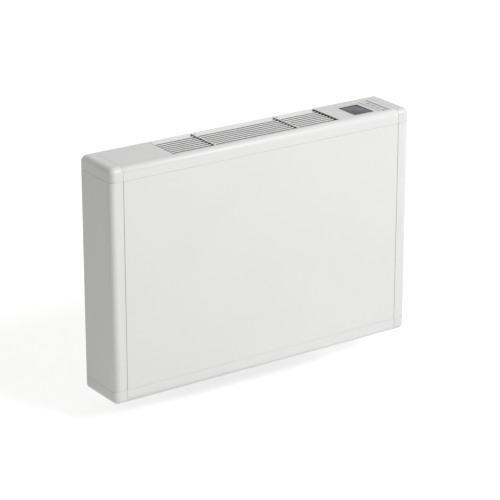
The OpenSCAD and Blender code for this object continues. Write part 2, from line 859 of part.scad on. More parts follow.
module button_outline(grow) {
    w = button_w + 2 * grow;
    d = button_d + 2 * grow;
    r = button_corner + grow;
    translate([-w / 2, -d / 2 + r]) square([w, d - 2 * r]);
    translate([-w / 2 + r, -d / 2]) square([w - 2 * r, d]);
    for (x = [-w / 2 + r, w / 2 - r], y = [-d / 2 + r, d / 2 - r]) translate([x, y]) circle(r);
}

// A plate under the rail whose middle rises into the pocket, with a slot left open at the right end
module control_bezel() {
    color(bezel_white) {
        difference() {
            union() {
                block([pocket_x0 - bezel_lap, bezel_y0, bezel_low],
                    [pocket_x1 + bezel_lap, pocket_y1 + bezel_lap, bezel_top]);
                block([pocket_x0 + slip, pocket_y0 + slip, bezel_low],
                    [pocket_x1 - bezel_slot, pocket_y1 - slip, bezel_face]);
            }
            block([pocket_x1 - bezel_slot, pocket_y0 + slip, bezel_low - cut],
                [pocket_x1, pocket_y1 - slip, bezel_top + cut]);
            block([window_x0, window_y0, bezel_low - cut], [window_x1, window_y1, casing_h]);
            for (y = button_ys) translate([button_x, y, bezel_low - cut])
                linear_extrude(casing_h - bezel_low + cut) button_outline(slip);
            block([groove_x, pocket_y0 + groove_end, bezel_face - groove_depth],
                [groove_x + groove_w, pocket_y1 - groove_end, casing_h]);
        }
        for (x = [pocket_x0 + board_edge, pocket_x1 - board_edge],
            y = [pocket_y0 - board_pillar_out, pocket_y1 + board_pillar_out])
            rod_z([x, y, board_top], module_h, board_pillar_r);
    }
}

// The black frame that lines the window opening, on top of the clear window
module display_frame() {
    low = bezel_low + close_fit + window_t;
    color(moulded_black) difference() {
        block([window_x0 + window_gap, window_y0 + window_gap, low],
            [window_x1 - window_gap, window_y1 - window_gap, bezel_face]);
        block([window_x0 + window_gap + display_frame_w, window_y0 + window_gap + display_frame_w, low - cut],
            [window_x1 - window_gap - display_frame_w, window_y1 - window_gap - display_frame_w, casing_h]);
    }
}

module display_window() {
    color(display_grey)
        block([window_x0 + window_gap, window_y0 + window_gap, bezel_low + close_fit],
            [window_x1 - window_gap, window_y1 - window_gap, bezel_low + close_fit + window_t]);
}

module display_module() {
    color(moulded_black)
        block([window_x0 - module_lap, window_y0 - module_lap, board_top],
            [window_x1 + module_lap, window_y1 + module_lap, bezel_low]);
}

module button(k) {
    stem_low = board_top + switch_h + button_travel + slip;
    color(button_grey) translate([button_x, button_ys[k], 0]) {
        translate([0, 0, bezel_low - slip]) linear_extrude(bezel_face + button_rise - bezel_low + slip)
            button_outline(0);
        translate([0, 0, bezel_low - slip - button_flange_t]) linear_extrude(button_flange_t)
            button_outline(button_flange);
        translate([0, 0, stem_low]) cylinder(h = bezel_low - slip - stem_low, r = switch_plunger_r);
    }
}

module button_first() { button(0); }

module button_second() { button(1); }

module button_third() { button(2); }

module button_fourth() { button(3); }

// The circuit board below the pocket, with one push switch under each button
module button_board() {
    color(board_green) {
        block([pocket_x0, pocket_y0 - bezel_lap, board_low], [pocket_x1, pocket_y1 + bezel_lap, board_top]);
        for (y = button_ys) {
            translate([button_x - switch_w / 2, y - switch_w / 2, board_top])
                cube([switch_w, switch_w, switch_h - switch_plunger_h]);
            rod_z([button_x, y, board_top], switch_h, switch_plunger_r);
        }
    }
}

module display_ribbon() {
    color(ribbon_grey)
        block([gland_x - ribbon_w / 2, gland_y, box_top],
            [gland_x + ribbon_w / 2, gland_y + ribbon_t, board_low]);
}

// A folded sheet beside the duct, with a window for the coil's bends; x is the duct's side, side is -1 or 1
module bulkhead(x, side) {
    outer = x + side * inner_t;
    edge = outer + side * flange_w;
    low_x = min(x, outer);
    difference() {
        union() {
            block([low_x, duct_y0, bulkhead_low], [low_x + inner_t, back_front_y, bulkhead_top]);
            for (y = [duct_y0, back_front_y - inner_t])
                block([min(x, edge), y, bulkhead_low], [max(x, edge), y + inner_t, bulkhead_top]);
        }
        block([low_x - cut, coil_y0 + window_margin, coil_low + window_margin],
            [low_x + inner_t + cut, coil_y0 + coil_d - window_margin, coil_low + coil_h - window_margin]);
        for (y = [duct_y0, back_front_y - inner_t], z = screw_zs)
            rod_y([edge - side * flange_w / 2, y - cut, z], inner_t + 2 * cut, screw_r + close_fit);
        rod_x([low_x - cut, 0, fan_axis_z], inner_t + 2 * cut, shaft_r + cut);
    }
}

module left_bulkhead() {
    color(zinc) {
        bulkhead(outlet_x0, -1);
        difference() {
            rod_x([bearing_x, 0, fan_axis_z], bearing_w, bearing_r + close_fit + bearing_wall);
            rod_x([bearing_x - cut, 0, fan_axis_z], bearing_w + cut, bearing_r + close_fit);
        }
    }
}

module right_bulkhead() {
    color(zinc) bulkhead(outlet_x1, 1);
}

module front_duct_plate() {
    color(zinc) difference() {
        block([flange_x0, duct_y0 - inner_t, bulkhead_low], [flange_x1, duct_y0, bulkhead_top]);
        for (x = [flange_x0 + flange_w / 2, flange_x1 - flange_w / 2], z = screw_zs)
            rod_y([x, duct_y0 - inner_t - cut, z], inner_t + 2 * cut, screw_r + close_fit);
    }
}

module rear_duct_plate() {
    color(zinc) block([outlet_x0 + close_fit, duct_y1, scroll_top],
        [outlet_x1 - close_fit, duct_y1 + inner_t, bulkhead_top]);
}

// The wall behind the impeller: an arc that opens towards the coil, on a shelf that reaches the back plate
module fan_scroll() {
    color(zinc) along_x(outlet_x0 + close_fit, outlet_w - 2 * close_fit) {
        intersection() {
            translate([duct_y1 - scroll_r, scroll_top]) difference() {
                circle(scroll_r + inner_t, $fn = scroll_facets);
                circle(scroll_r, $fn = scroll_facets);
            }
            translate([scroll_y, scroll_z]) square([scroll_run + inner_t, scroll_rise]);
        }
        translate([scroll_y, scroll_z - inner_t]) square([back_front_y - scroll_y, inner_t]);
    }
}

// The lip in front of the impeller, with a round nose that parts the intake from the outlet
module fan_tongue() {
    color(zinc) along_x(outlet_x0 + close_fit, outlet_w - 2 * close_fit) {
        translate([tongue_y, tongue_z]) circle(tongue_nose_r);
        polygon([[duct_y0, tongue_z - tongue_nose_r], [tongue_y, tongue_z - tongue_nose_r],
            [tongue_y, tongue_z - tongue_nose_r + inner_t], [duct_y0, tongue_z - tongue_nose_r + inner_t]]);
        polygon([[tongue_y, tongue_z], [tongue_y + tongue_nose_r, tongue_z],
            [duct_y0 + inner_t, tongue_z + tongue_rise], [duct_y0, tongue_z + tongue_rise]]);
    }
}

// One blade of the impeller: the part of a thin ring that lies in the blade zone
module fan_blade() {
    root_r = fan_r - fan_blade_l;
    intersection() {
        translate([fan_r - fan_blade_l / 2, fan_blade_r]) difference() {
            circle(fan_blade_r + fan_blade_t / 2);
            circle(fan_blade_r - fan_blade_t / 2);
        }
        difference() {
            circle(fan_r - close_fit);
            circle(root_r + close_fit);
        }
        translate([root_r - fan_blade_l / 2, -fan_blade_l / 2]) square([2 * fan_blade_l, fan_blade_l]);
    }
}

module fan_impeller() {
    bay = (fan_x1 - fan_x0 - fan_ring_t) / fan_bays;
    color(moulded_black) translate([0, 0, fan_axis_z]) {
        along_x(fan_x0, fan_x1 - fan_x0)
            for (k = [0:fan_blade_count - 1]) rotate(k * 360 / fan_blade_count) fan_blade();
        for (k = [1:fan_bays - 1]) along_x(fan_x0 + k * bay, fan_ring_t) difference() {
            circle(fan_r);
            circle(fan_r - fan_blade_l);
        }
        for (x = [fan_x0, fan_x1 - fan_ring_t]) along_x(x, fan_ring_t) difference() {
            circle(fan_r);
            circle(shaft_r + shaft_seat);
        }
        for (x = [fan_x0, fan_x1 - hub_l]) along_x(x, hub_l) difference() {
            circle(hub_r);
            circle(shaft_r + shaft_seat);
        }
    }
}

module fan_stub() {
    color(zinc) rod_x([bearing_x, 0, fan_axis_z], fan_x0 + hub_l - bearing_x, shaft_r);
}

module fan_bearing() {
    color(brass_yellow) difference() {
        rod_x([bearing_x, 0, fan_axis_z], bearing_w, bearing_r);
        rod_x([bearing_x - cut, 0, fan_axis_z], bearing_w + 2 * cut, shaft_r + shaft_clear);
    }
}

module motor_shaft() {
    start = fan_x1 - hub_l;
    color(zinc) rod_x([start, 0, fan_axis_z], motor_x0 + motor_nose - start, shaft_r);
}

module motor_body() {
    color(motor_grey) difference() {
        union() {
            rod_x([motor_x0, 0, fan_axis_z], motor_l - motor_cap_l, motor_r);
            rod_x([motor_x0 + motor_l - motor_cap_l, 0, fan_axis_z], motor_cap_l, motor_r - motor_step);
        }
        rod_x([motor_x0 - cut, 0, fan_axis_z], motor_nose + 2 * cut, shaft_r + shaft_clear);
    }
}

// A ring on the bulkhead with a collar that grips the motor
module motor_bracket() {
    color(zinc) difference() {
        union() {
            rod_x([outlet_x1 + inner_t, 0, fan_axis_z], bracket_t, bracket_r);
            rod_x([motor_x0, 0, fan_axis_z], motor_cap_l, motor_r + close_fit + bracket_t);
        }
        rod_x([outlet_x1 + inner_t - cut, 0, fan_axis_z], bracket_t + 2 * cut, shaft_r + 2 * cut);
        rod_x([motor_x0, 0, fan_axis_z], motor_cap_l + cut, motor_r + close_fit);
    }
}

// The coil's section with a hole for each tube
module coil_section(margin_z, hole_r) {
    difference() {
        translate([coil_y0, coil_low - margin_z]) square([coil_d, coil_h + 2 * margin_z]);
        for (y = column_ys, z = row_zs) translate([y, z]) circle(hole_r, $fn = tube_facets);
    }
}

module coil_fins() {
    first = outlet_x0 + coil_plate_t + (fin_span - (fin_count - 1) * fin_pitch - fin_t) / 2;
    color(fin_silver) for (k = [0:fin_count - 1])
        along_x(first + k * fin_pitch, fin_t) coil_section(0, tube_r + fin_clear);
}

module coil_end_left() {
    color(zinc) along_x(outlet_x0, coil_plate_t) coil_section(coil_plate_lap, tube_r + fin_clear);
}

module coil_end_right() {
    color(zinc) along_x(outlet_x1 - coil_plate_t, coil_plate_t)
        coil_section(coil_plate_lap, tube_r + fin_clear);
}

// A half-round bend at one end of the coil, from one tube to its neighbour; side is -1 or 1
module return_bend(x, y, z, side, upright) {
    translate([x, y, z]) rotate([upright ? 0 : -90, 0, 0]) rotate([90, 0, 0]) rotate(side > 0 ? -90 : 90)
        rotate_extrude(angle = 180) translate([tube_pitch / 2, 0]) circle(tube_r, $fn = tube_facets);
}

// One circuit through all the tubes: along the lower row to the front, up, and back along the upper row
module coil_tubes() {
    low_x = outlet_x0 - tube_out;
    high_x = outlet_x1 + tube_out;
    color(copper) {
        for (k = [0:last_column], z = row_zs)
            rod_x([k == last_column ? low_x - tube_lead : low_x, column_ys[k], z],
                high_x - low_x + (k == last_column ? tube_lead : 0), tube_r, $fn = tube_facets);
        for (k = [last_column:-1:1], z = row_zs)
            return_bend((last_column - k) % 2 == 0 ? high_x : low_x, column_ys[k] - tube_pitch / 2, z,
                (last_column - k) % 2 == 0 ? 1 : -1, false);
        return_bend(last_column % 2 == 0 ? high_x : low_x, column_ys[0], row_zs[0] + tube_pitch / 2,
            last_column % 2 == 0 ? 1 : -1, true);
    }
}

// A pipe that leaves a coil tube to the left and bends down to its valve
module down_pipe(x, z) {
    bend_x = x + pipe_bend_r;
    rod_x([bend_x, pipe_y, z], pipe_start_x - bend_x, pipe_r);
    translate([bend_x, pipe_y, z - pipe_bend_r]) rotate([90, 0, 0]) rotate(90)
        rotate_extrude(angle = 90) translate([pipe_bend_r, 0]) circle(pipe_r);
    rod_z([x, pipe_y, valve_top], z - pipe_bend_r - valve_top, pipe_r);
}

module flow_pipe() {
    color(copper) down_pipe(flow_x, row_zs[0]);
}

// The return pipe carries the riser of the air vent
module return_pipe() {
    color(copper) {
        down_pipe(return_x, row_zs[1]);
        rod_z([vent_x, pipe_y, row_zs[1]], vent_rise - vent_h / 2, riser_r);
    }
}

module valve(x) {
    color(brass_yellow) difference() {
        union() {
            rod_z([x, pipe_y, valve_low], valve_h, valve_r);
            for (z = [valve_low, valve_top - nut_h]) hexagon([x, pipe_y, z], nut_h, nut_r);
            rod_y([x, valve_face_y, valve_mid], valve_r + boss_l, boss_r);
        }
        rod_z([x, pipe_y, valve_low - cut], thread_l + cut, thread_r);
        rod_y([x, valve_face_y - cut, valve_mid], pivot_l + slip + cut, pivot_r + shaft_clear);
    }
}

module flow_valve() { valve(flow_x); }

module return_valve() { valve(return_x); }

// A flat handle that points down while the valve is open
module valve_lever(x, shade) {
    face_y = valve_face_y - slip;
    color(shade) {
        rod_y([x, face_y - lever_hub_l, valve_mid], lever_hub_l, lever_hub_r);
        rod_y([x, face_y, valve_mid], pivot_l, pivot_r);
        block([x - lever_w / 2, face_y - lever_hub_l, valve_mid - lever_l + lever_w / 2],
            [x + lever_w / 2, face_y - lever_hub_l + lever_t, valve_mid]);
        rod_y([x, face_y - lever_hub_l, valve_mid - lever_l + lever_w / 2], lever_t, lever_w / 2);
    }
}

module flow_lever() { valve_lever(flow_x, lever_red); }

module return_lever() { valve_lever(return_x, lever_blue); }

module air_vent() {
    vent_low = row_zs[1] + vent_rise - vent_h / 2;
    color(brass_yellow) difference() {
        union() {
            rod_z([vent_x, pipe_y, vent_low], vent_h, vent_r);
            rod_y([vent_x, vent_face_y, vent_z], vent_r + vent_boss_l, vent_boss_r);
        }
        rod_y([vent_x, vent_face_y - cut, vent_z], pivot_l + slip + cut, pivot_r + shaft_clear);
    }
}

// The square-headed screw that a bleed key turns
module vent_screw() {
    face_y = vent_face_y - slip;
    color(brass_yellow) {
        translate([vent_x - vent_head_w / 2, face_y - vent_head_l, vent_z - vent_head_w / 2])
            cube([vent_head_w, vent_head_l, vent_head_w]);
        rod_y([vent_x, face_y, vent_z], pivot_l, pivot_r);
    }
}

module control_box() {
    color(moulded_black) {
        difference() {
            block([box_x0, box_y0, box_low], [box_x1, back_front_y, box_top]);
            block([box_x0 + box_t, box_y0 - cut, box_low + box_t],
                [box_x1 - box_t, back_front_y - box_t, box_top - box_t]);
            rod_z([gland_x, gland_y, box_low - cut], box_t + 2 * cut, gland_outer_r + close_fit);
        }
        for (x = [box_x0 + main_board_in + main_pillar_in, box_x1 - main_board_in - main_pillar_in],
            z = [box_low + main_board_in + main_pillar_in, box_top - main_board_in - main_pillar_in])
            rod_y([x, main_board_y, z], main_pillar_l, main_pillar_r);
    }
}

module control_box_lid() {
    inner = box_t + slip;
    color(moulded_black) {
        block([box_x0, box_y0 - box_t, box_low], [box_x1, box_y0, box_top]);
        difference() {
            block([box_x0 + inner, box_y0, box_low + inner],
                [box_x1 - inner, box_y0 + lid_rim, box_top - inner]);
            block([box_x0 + inner + box_t, box_y0, box_low + inner + box_t],
                [box_x1 - inner - box_t, box_y0 + lid_rim + cut, box_top - inner - box_t]);
        }
    }
}

// The circuit board with a transformer, a relay beside it and three capacitors below them
module main_board() {
    x0 = box_x0 + main_board_in;
    face_y = main_board_y - board_t;
    top_z = box_top - main_board_in - board_part_in;
    relay_x = x0 + board_part_in + transformer_w + relay_gap;
    capacitor_z = top_z - transformer_h - capacitor_drop;
    color(board_green) {
        translate([x0, face_y, box_low + main_board_in]) cube([main_board_w, board_t, main_board_h]);
        translate([x0 + board_part_in, face_y - transformer_d, top_z - transformer_h])
            cube([transformer_w, transformer_d, transformer_h]);
        translate([relay_x, face_y - relay_d, top_z - relay_h]) cube([relay_w, relay_d, relay_h]);
        for (k = [0:2])
            rod_y([x0 + 2 * board_part_in + k * capacitor_pitch, face_y - capacitor_l, capacitor_z],
                capacitor_l, capacitor_r);
    }
}

module terminal_block() {
    x0 = gland_x - terminal_w / 2;
    y1 = main_board_y - board_t;
    z0 = box_low + main_board_in + terminal_up;
    color(terminal_white) difference() {
        block([x0, y1 - terminal_d, z0], [x0 + terminal_w, y1, z0 + terminal_h]);
        for (k = [0:terminal_poles - 1])
            translate([x0 + (k + 0.5) * terminal_pole_w, y1 - terminal_d - cut, z0]) {
                rod_y([0, 0, 3 / 4 * terminal_h], terminal_d / 2, terminal_hole_r);
                translate([-terminal_slot_w / 2, 0, -cut])
                    cube([terminal_slot_w, terminal_d / 2, terminal_h / 2]);
            }
    }
}

module cable_gland() {
    color(moulded_black) difference() {
        union() {
            rod_z([gland_x, gland_y, box_low - gland_l + box_t], gland_l, gland_outer_r);
            hexagon([gland_x, gland_y, box_low - gland_nut_h], gland_nut_h, gland_nut_r);
        }
        rod_z([gland_x, gland_y, box_low - gland_l + box_t - cut], gland_l + 2 * cut, gland_r);
    }
}

// A probe in the intake, clipped behind the front duct plate
module temperature_sensor() {
    clip_x = outlet_x0 + sensor_in;
    z = bulkhead_low + sensor_up;
    color(moulded_black) {
        block([clip_x, duct_y0, z - sensor_clip_w / 2],
            [clip_x + sensor_clip_w, duct_y0 + sensor_clip_d, z + sensor_clip_w / 2]);
        rod_x([clip_x - sensor_clip_w / 2, duct_y0 + sensor_clip_d + sensor_r / 2, z], sensor_l, sensor_r);
    }
}

module filter_frame() {
    color(moulded_black) difference() {
        translate([filter_x0, filter_y0, filter_low]) cube([filter_w, filter_d, filter_t]);
        for (x = filter_bay_xs) translate([x, filter_y0 + filter_bar, filter_low - cut])
            cube([filter_bay_w, filter_d - 2 * filter_bar, filter_t + 2 * cut]);
    }
}

module filter_mesh() {
    inset = filter_bar + close_fit;
    color(net_grey) for (x = filter_bay_xs)
        translate([x + close_fit, filter_y0 + inset, filter_low + (filter_t - mesh_t) / 2])
            cube([filter_bay_w - 2 * close_fit, filter_d - 2 * inset, mesh_t]);
}

front_panel();
panel_stiffeners();
panel_studs();
panel_catches();
left_side_panel();
right_side_panel();
top_rail();
bottom_rail();
corner_cap_top_left();
corner_cap_top_right();
corner_cap_bottom_left();
corner_cap_bottom_right();
outlet_grille();
grille_combs();
back_plate();
casing_rivets();
frame_screws();
control_bezel();
display_frame();
display_window();
display_module();
button_first();
button_second();
button_third();
button_fourth();
button_board();
display_ribbon();
left_bulkhead();
right_bulkhead();
front_duct_plate();
rear_duct_plate();
fan_scroll();
fan_tongue();
fan_impeller();
fan_stub();
fan_bearing();
motor_shaft();
motor_body();
motor_bracket();
coil_fins();
coil_tubes();
coil_end_left();
coil_end_right();
flow_pipe();
return_pipe();
flow_valve();
return_valve();
flow_lever();
return_lever();
air_vent();
vent_screw();
control_box();
control_box_lid();
main_board();
terminal_block();
cable_gland();
temperature_sensor();
filter_frame();
filter_mesh();
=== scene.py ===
"""Dresses the slim fan convector: paint, mouldings, metals, small fittings, a pale floor and soft light.

Sizes are in metres. X runs along the front, Y from the front to the wall and Z upwards.
"""

import math

import bmesh
import bpy
from mathutils import Matrix, Vector


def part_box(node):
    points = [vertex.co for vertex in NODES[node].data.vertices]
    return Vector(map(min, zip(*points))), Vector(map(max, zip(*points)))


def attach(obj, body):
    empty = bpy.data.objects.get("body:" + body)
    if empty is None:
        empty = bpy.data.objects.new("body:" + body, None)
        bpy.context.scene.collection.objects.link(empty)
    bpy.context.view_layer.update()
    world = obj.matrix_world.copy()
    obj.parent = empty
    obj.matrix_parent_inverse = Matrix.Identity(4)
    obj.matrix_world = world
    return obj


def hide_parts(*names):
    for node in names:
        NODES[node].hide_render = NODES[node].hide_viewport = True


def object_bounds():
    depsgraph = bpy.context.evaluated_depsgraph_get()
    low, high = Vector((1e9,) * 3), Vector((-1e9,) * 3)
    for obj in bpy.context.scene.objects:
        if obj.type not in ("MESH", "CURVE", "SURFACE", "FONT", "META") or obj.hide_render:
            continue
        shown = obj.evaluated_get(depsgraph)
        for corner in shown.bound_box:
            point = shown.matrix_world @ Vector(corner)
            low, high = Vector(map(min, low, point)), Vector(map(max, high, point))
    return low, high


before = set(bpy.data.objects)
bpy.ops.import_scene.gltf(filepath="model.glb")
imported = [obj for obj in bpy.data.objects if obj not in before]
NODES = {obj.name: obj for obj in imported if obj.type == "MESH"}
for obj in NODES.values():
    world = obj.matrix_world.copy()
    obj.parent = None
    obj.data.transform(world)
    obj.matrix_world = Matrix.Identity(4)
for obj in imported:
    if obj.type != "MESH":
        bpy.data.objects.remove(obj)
CAD_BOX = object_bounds()

# The camera: where it stands, its bearing round the object, its height angle, its lens and sensor in
# millimetres, and how far it sees
CAMERA_PLACE = (-2.7665, -4.0162, 2.0687)
CAMERA_AZIMUTH = -34.54
CAMERA_ELEVATION = 20.32
CAMERA_LENS = 166.2
CAMERA_SENSOR = 36.0
CAMERA_FAR = 100.0

# The light: a large soft key lamp from the right of the front, and an even surrounding light. The unit
# hangs on a wall, so the floor lies far enough below it for the filter to slide out.
KEY_AZIMUTH = 27.0
KEY_ELEVATION = 36.5
KEY_DISTANCE = 5.6
KEY_SIZE = 2.74
KEY_POWER = 183.0
KEY_COLOUR = (1.0, 0.98, 1.02)
AMBIENT = (0.353, 0.361, 0.342)
FLOOR_SIZE = 40.0
FLOOR_DROP = 0.056
FLOOR_COLOUR = (0.86, 0.86, 0.86)
FLOOR_GLOW = 0.64

# Edges: the width of the rounding on the casing and the angle from which an edge gets it, the angle
# from which an edge of a fitting stays sharp, and the distances within which points are joined, on a
# node and on a fitting
EDGE_ROUND, EDGE_ANGLE = 0.0002, 50.0
CURVE_ANGLE = 35.0
WELD, JOIN = 0.00001, 0.000001

# The points of a full turn, and of one on the clips' small heads
TURN_STEPS, SMALL_TURN_STEPS = 32, 16

# Screws: radius and height of the head, radius of the shank, the whole lengths, the thread, and the
# reach, half width, depth and narrowing of the cross in the head
SCREW_HEAD_R, SCREW_HEAD_H, SCREW_R = 0.0035, 0.0018, 0.0016
THREAD_PITCH, THREAD_DEPTH = 0.0007, 0.00025
FRONT_SCREW_L, REAR_SCREW_L, SHORT_SCREW_L = 0.0068, 0.0045, SCREW_HEAD_H + THREAD_PITCH
CROSS_REACH, CROSS_HALF, CROSS_DEPTH, CROSS_TAPER = 0.0021, 0.00045, 0.0011, 0.5

# A pan head's outline from the middle of its top, in shares of its height and radius
PAN_HEAD = [(0, 0), (0, 0.62), (0.07, 0.80), (0.22, 0.93), (0.45, 1), (1, 1)]

# The smaller screws: their scale, how far those of the control box's lid stand in from its corners, and
# how many hold the motor's cap and how far out from its middle
LID_SCREW_SCALE, LID_SCREW_IN = 0.85, 0.007
CAP_SCREW_SCALE, CAP_SCREWS, CAP_SCREW_OUT = 0.8, 3, 0.019

# How the crosses stand, in degrees: the turn from each screw to the next, and the lid's first turn
FRAME_TURN, LID_TURN, CAP_TURN = 37.0, 50.0, 31.0
LID_FIRST_TURN = 23.0

# Rivets: radii of the shank and the head, the head's height and the whole length, and the places along
# the side panels and in the rails
RIVET_R, RIVET_HEAD_R, RIVET_HEAD_H, RIVET_L = 0.002, 0.0038, 0.0016, 0.0046
RIVET_SIDE_ZS = (0.062, 0.272, 0.482)
RIVET_RAIL_X, RIVET_RAIL_ZS = 0.328, (0.007, 0.537)

# A rivet's outline: the head in shares of its height and radius, and the tail in shares of the head's
# height back from the end and of the shank's radius
RIVET_HEAD = [(0.7, 0), (0.7, 0.24), (0, 0.26), (0.03, 0.45), (0.2, 0.72), (0.55, 0.94), (0.85, 1), (1, 1)]
RIVET_TAIL = [(0.1, 1), (0, 0.92), (0, 0.45), (0.3, 0.4), (0.3, 0)]

# The leads inside the casing: their radii and the points they follow. The sensor's lead lies along the
# front duct plate at RUN_Z and then goes up it at RUN_X.
SENSOR_LEAD_R, MOTOR_LEAD_R = 0.0009, 0.0022
RUN_X, RUN_Y, RUN_Z = 0.2243, -0.04615, 0.0260
SENSOR_LEAD = [
    (-0.1560, -0.0395, 0.0260), (-0.1500, -0.0395, 0.0256), (-0.1450, -0.0402, 0.0215),
    (-0.1415, -0.0415, 0.0182), (-0.1390, -0.0438, 0.0166), (-0.1360, -0.0458, 0.0172),
    (-0.1330, RUN_Y, 0.0200), (-0.1280, RUN_Y, 0.0245), (-0.1200, RUN_Y, RUN_Z), (0.0480, RUN_Y, RUN_Z),
    (0.2150, RUN_Y, RUN_Z), (0.2215, RUN_Y, 0.0288), (RUN_X, RUN_Y, 0.0350), (RUN_X, RUN_Y, 0.0850),
    (RUN_X, RUN_Y, 0.1380), (0.2256, -0.0455, 0.1500), (0.2290, -0.0410, 0.1630),
    (0.2312, -0.0280, 0.1760), (0.2314, -0.0100, 0.1830), (0.2316, 0.0080, 0.1862),
    (0.2332, 0.0160, 0.1870), (0.2366, 0.0180, 0.1870)]
MOTOR_LEAD = [
    (0.2670, 0.0000, 0.1085), (0.2670, 0.0005, 0.1180), (0.2660, 0.0045, 0.1310),
    (0.2637, 0.0125, 0.1445), (0.2626, 0.0175, 0.1530), (0.2625, 0.0185, 0.1605)]

# The clips on the sensor's lead: their places along it and up it, the loop's radii, the foot's reach,
# the clip's width, and the steps of the loop
CLIP_XS, CLIP_ZS = (-0.09, 0.02, 0.13), (0.058, 0.100, 0.136)
CLIP_INNER, CLIP_OUTER, CLIP_FOOT, CLIP_W = 0.001, 0.0016, 0.0068, 0.005
CLIP_STEPS = 12

# The small head on a clip's foot: its outline as (distance, radius) points, and how far it stands out
CLIP_HEAD = [(0, 0), (0, 0.0007), (0.0003, 0.0011), (0.0007, 0.0012), (0.0007, 0)]
CLIP_HEAD_RISE = 0.0006

# The grommets: length and wall, how far up the motor's lead its first one lies, and the outline in
# shares of the length and the outer radius
GROMMET_L, GROMMET_WALL, GROMMET_UP = 0.0022, 0.0016, 0.001
GROMMET = [(0, 1), (0.5, 1), (0.8, 0.9), (1, 0.75)]

# A dark sheet beside the front panel, as painted shade for the depth of its gaps: the side panels' edge,
# and the sheet's clearance, depth and drop
SEAM_X, SEAM_SHADE_CLEAR, SEAM_SHADE_DEPTH, SEAM_SHADE_DROP = 0.368, 0.0001, 0.010, 0.0004

# The casing's rounding, the caps' width, and the lips in the caps' seams: drops, depth, width and end
CASING_R, CAP_W = 0.014, 0.032
SIDE_LIP_DROP, RAIL_LIP_DROP = 0.0008, 0.0012
LIP_DEPTH, LIP_W, LIP_END = 0.0016, 0.0006, 0.00045
LIP_STEPS = 12

# The display's lens: how far it stands in from its frame's outside, its drop, and its bevel
LENS_IN, LENS_DROP, LENS_BEVEL = 0.0012, 0.0005, 0.00025

# The seal in the slot at the pocket's right end, black as painted shade for the slot's depth: where it
# starts and ends, its width, its lip's reach, its height over the bezel and depth below it, and how far its
# top edges are cut
SLOT_SEAL_YS, SLOT_SEAL_W, SLOT_SEAL_LIP = (-0.0447, 0.0437), 0.0015, 0.0006
SLOT_SEAL_RISE, SLOT_SEAL_DEEP = 0.00035, 0.004
SLOT_EDGE_X, SLOT_EDGE_Z = 0.0002, 0.0001

# The grey strip in the pocket's groove, as painted shade for the groove's depth: where it starts and ends,
# the groove's left side, width and depth, the strip's thickness, and its crown in shares of half its width,
# with the crown's steps
GROOVE_YS, GROOVE_X, GROOVE_W, GROOVE_DEPTH = (-0.043, 0.042), 0.327, 0.002, 0.0015
STRIP_T, STRIP_CROWN, STRIP_STEPS = 0.0014, 0.3, 6

# The grille's painted shade and highlight: how far its blades reach below its top, the ribs' rise above the
# blades, and, in shares of that depth, where the painted shade halves and ends, and the stretch in which
# the ribs turn whiter as a painted highlight
BLADE_DEPTH, RIB_RISE = 0.0095, 0.0015
HALF_SHADE_AT, NO_SHADE_AT, RIB_HIGHLIGHT_BLEND = 0.5, 0.63, 0.02

# The finishes' grain: how many features lie in a metre of the clouding and of the grain, the grain's
# height, how far the roughness wanders either way, and the white paint's roughness
PAINT_CLOUD, PAINT_GRAIN, PAINT_PEEL, PAINT_SPREAD = 6.0, 900.0, 0.00002, 0.04
PLASTIC_CLOUD, PLASTIC_GRAIN, PLASTIC_TEXTURE, PLASTIC_SPREAD = 12.0, 1600.0, 0.00001, 0.05
WHITE_ROUGHNESS = 0.42

# Bare metal: the detail of its marks, and how far they take the roughness down and up. Zinc sheet: its
# crystals in a metre, and its least and greatest roughness.
METAL_DETAIL, METAL_SMOOTHER, METAL_ROUGHER = 6.0, 0.06, 0.08
ZINC_CRYSTALS, ZINC_SMOOTH, ZINC_ROUGH = 210.0, 0.34, 0.52

# Where on a texture, which goes from 0 to 1, the first colour ends and the second starts
FIRST_COLOUR_TO, SECOND_COLOUR_FROM = 0.35, 0.65

# The display's dark border, the pitch of the ribbon's wires and of the net's threads, how high both
# stand, and where on a thread's wave the gap ends and the thread's full colour starts
DISPLAY_BORDER = 0.002
RIBBON_PITCH, NET_PITCH, WEAVE_RISE = 0.00127, 0.002, 0.0003
NET_GAP_TO, NET_THREAD_FROM = 0.55, 0.85

# How far apart the waves of a wave texture lie where its scale is 1
WAVE_PITCH = math.pi / 10


def back_vector(azimuth, elevation):
    """The direction from the object to a viewer at that bearing and height angle, in degrees."""
    a, e = math.radians(azimuth), math.radians(elevation)
    return Vector((math.sin(a) * math.cos(e), -math.cos(a) * math.cos(e), math.sin(e)))


def link_object(name, data):
    """A new object of the scene with that mesh, curve, camera or light."""
    made = bpy.data.objects.new(name, data)
    bpy.context.scene.collection.objects.link(made)
    return made


def make_camera():
    """The camera of the main view."""
    data = bpy.data.cameras.new("camera")
    data.lens = CAMERA_LENS
    data.sensor_width = CAMERA_SENSOR
    data.clip_end = CAMERA_FAR
    camera = link_object("camera", data)
    camera.location = CAMERA_PLACE
    camera.rotation_mode = "QUATERNION"
    camera.rotation_quaternion = (-back_vector(CAMERA_AZIMUTH, CAMERA_ELEVATION)).to_track_quat("-Z", "Y")
    bpy.context.scene.camera = camera


def new_material(name):
    """A material with an empty node tree, and the tree's nodes and links."""
    material = bpy.data.materials.new(name)
    material.use_nodes = True
    material.node_tree.nodes.clear()
    return material, material.node_tree.nodes, material.node_tree.links


def new_node(nodes, kind, **sockets):
    """A shader node with those values on its sockets, whose names have spaces for the underscores."""
    node = nodes.new("ShaderNode" + kind)
    for socket, value in sockets.items():
        node.inputs[socket.replace("_", " ")].default_value = value
    return node


def principled(name, **sockets):
    """A material whose shader has those values on its own sockets, named as for new_node."""
    material, nodes, links = new_material(name)
    shader = new_node(nodes, "BsdfPrincipled", **sockets)
    output = new_node(nodes, "OutputMaterial")
    links.new(shader.outputs["BSDF"], output.inputs["Surface"])
    return material, nodes, links, shader


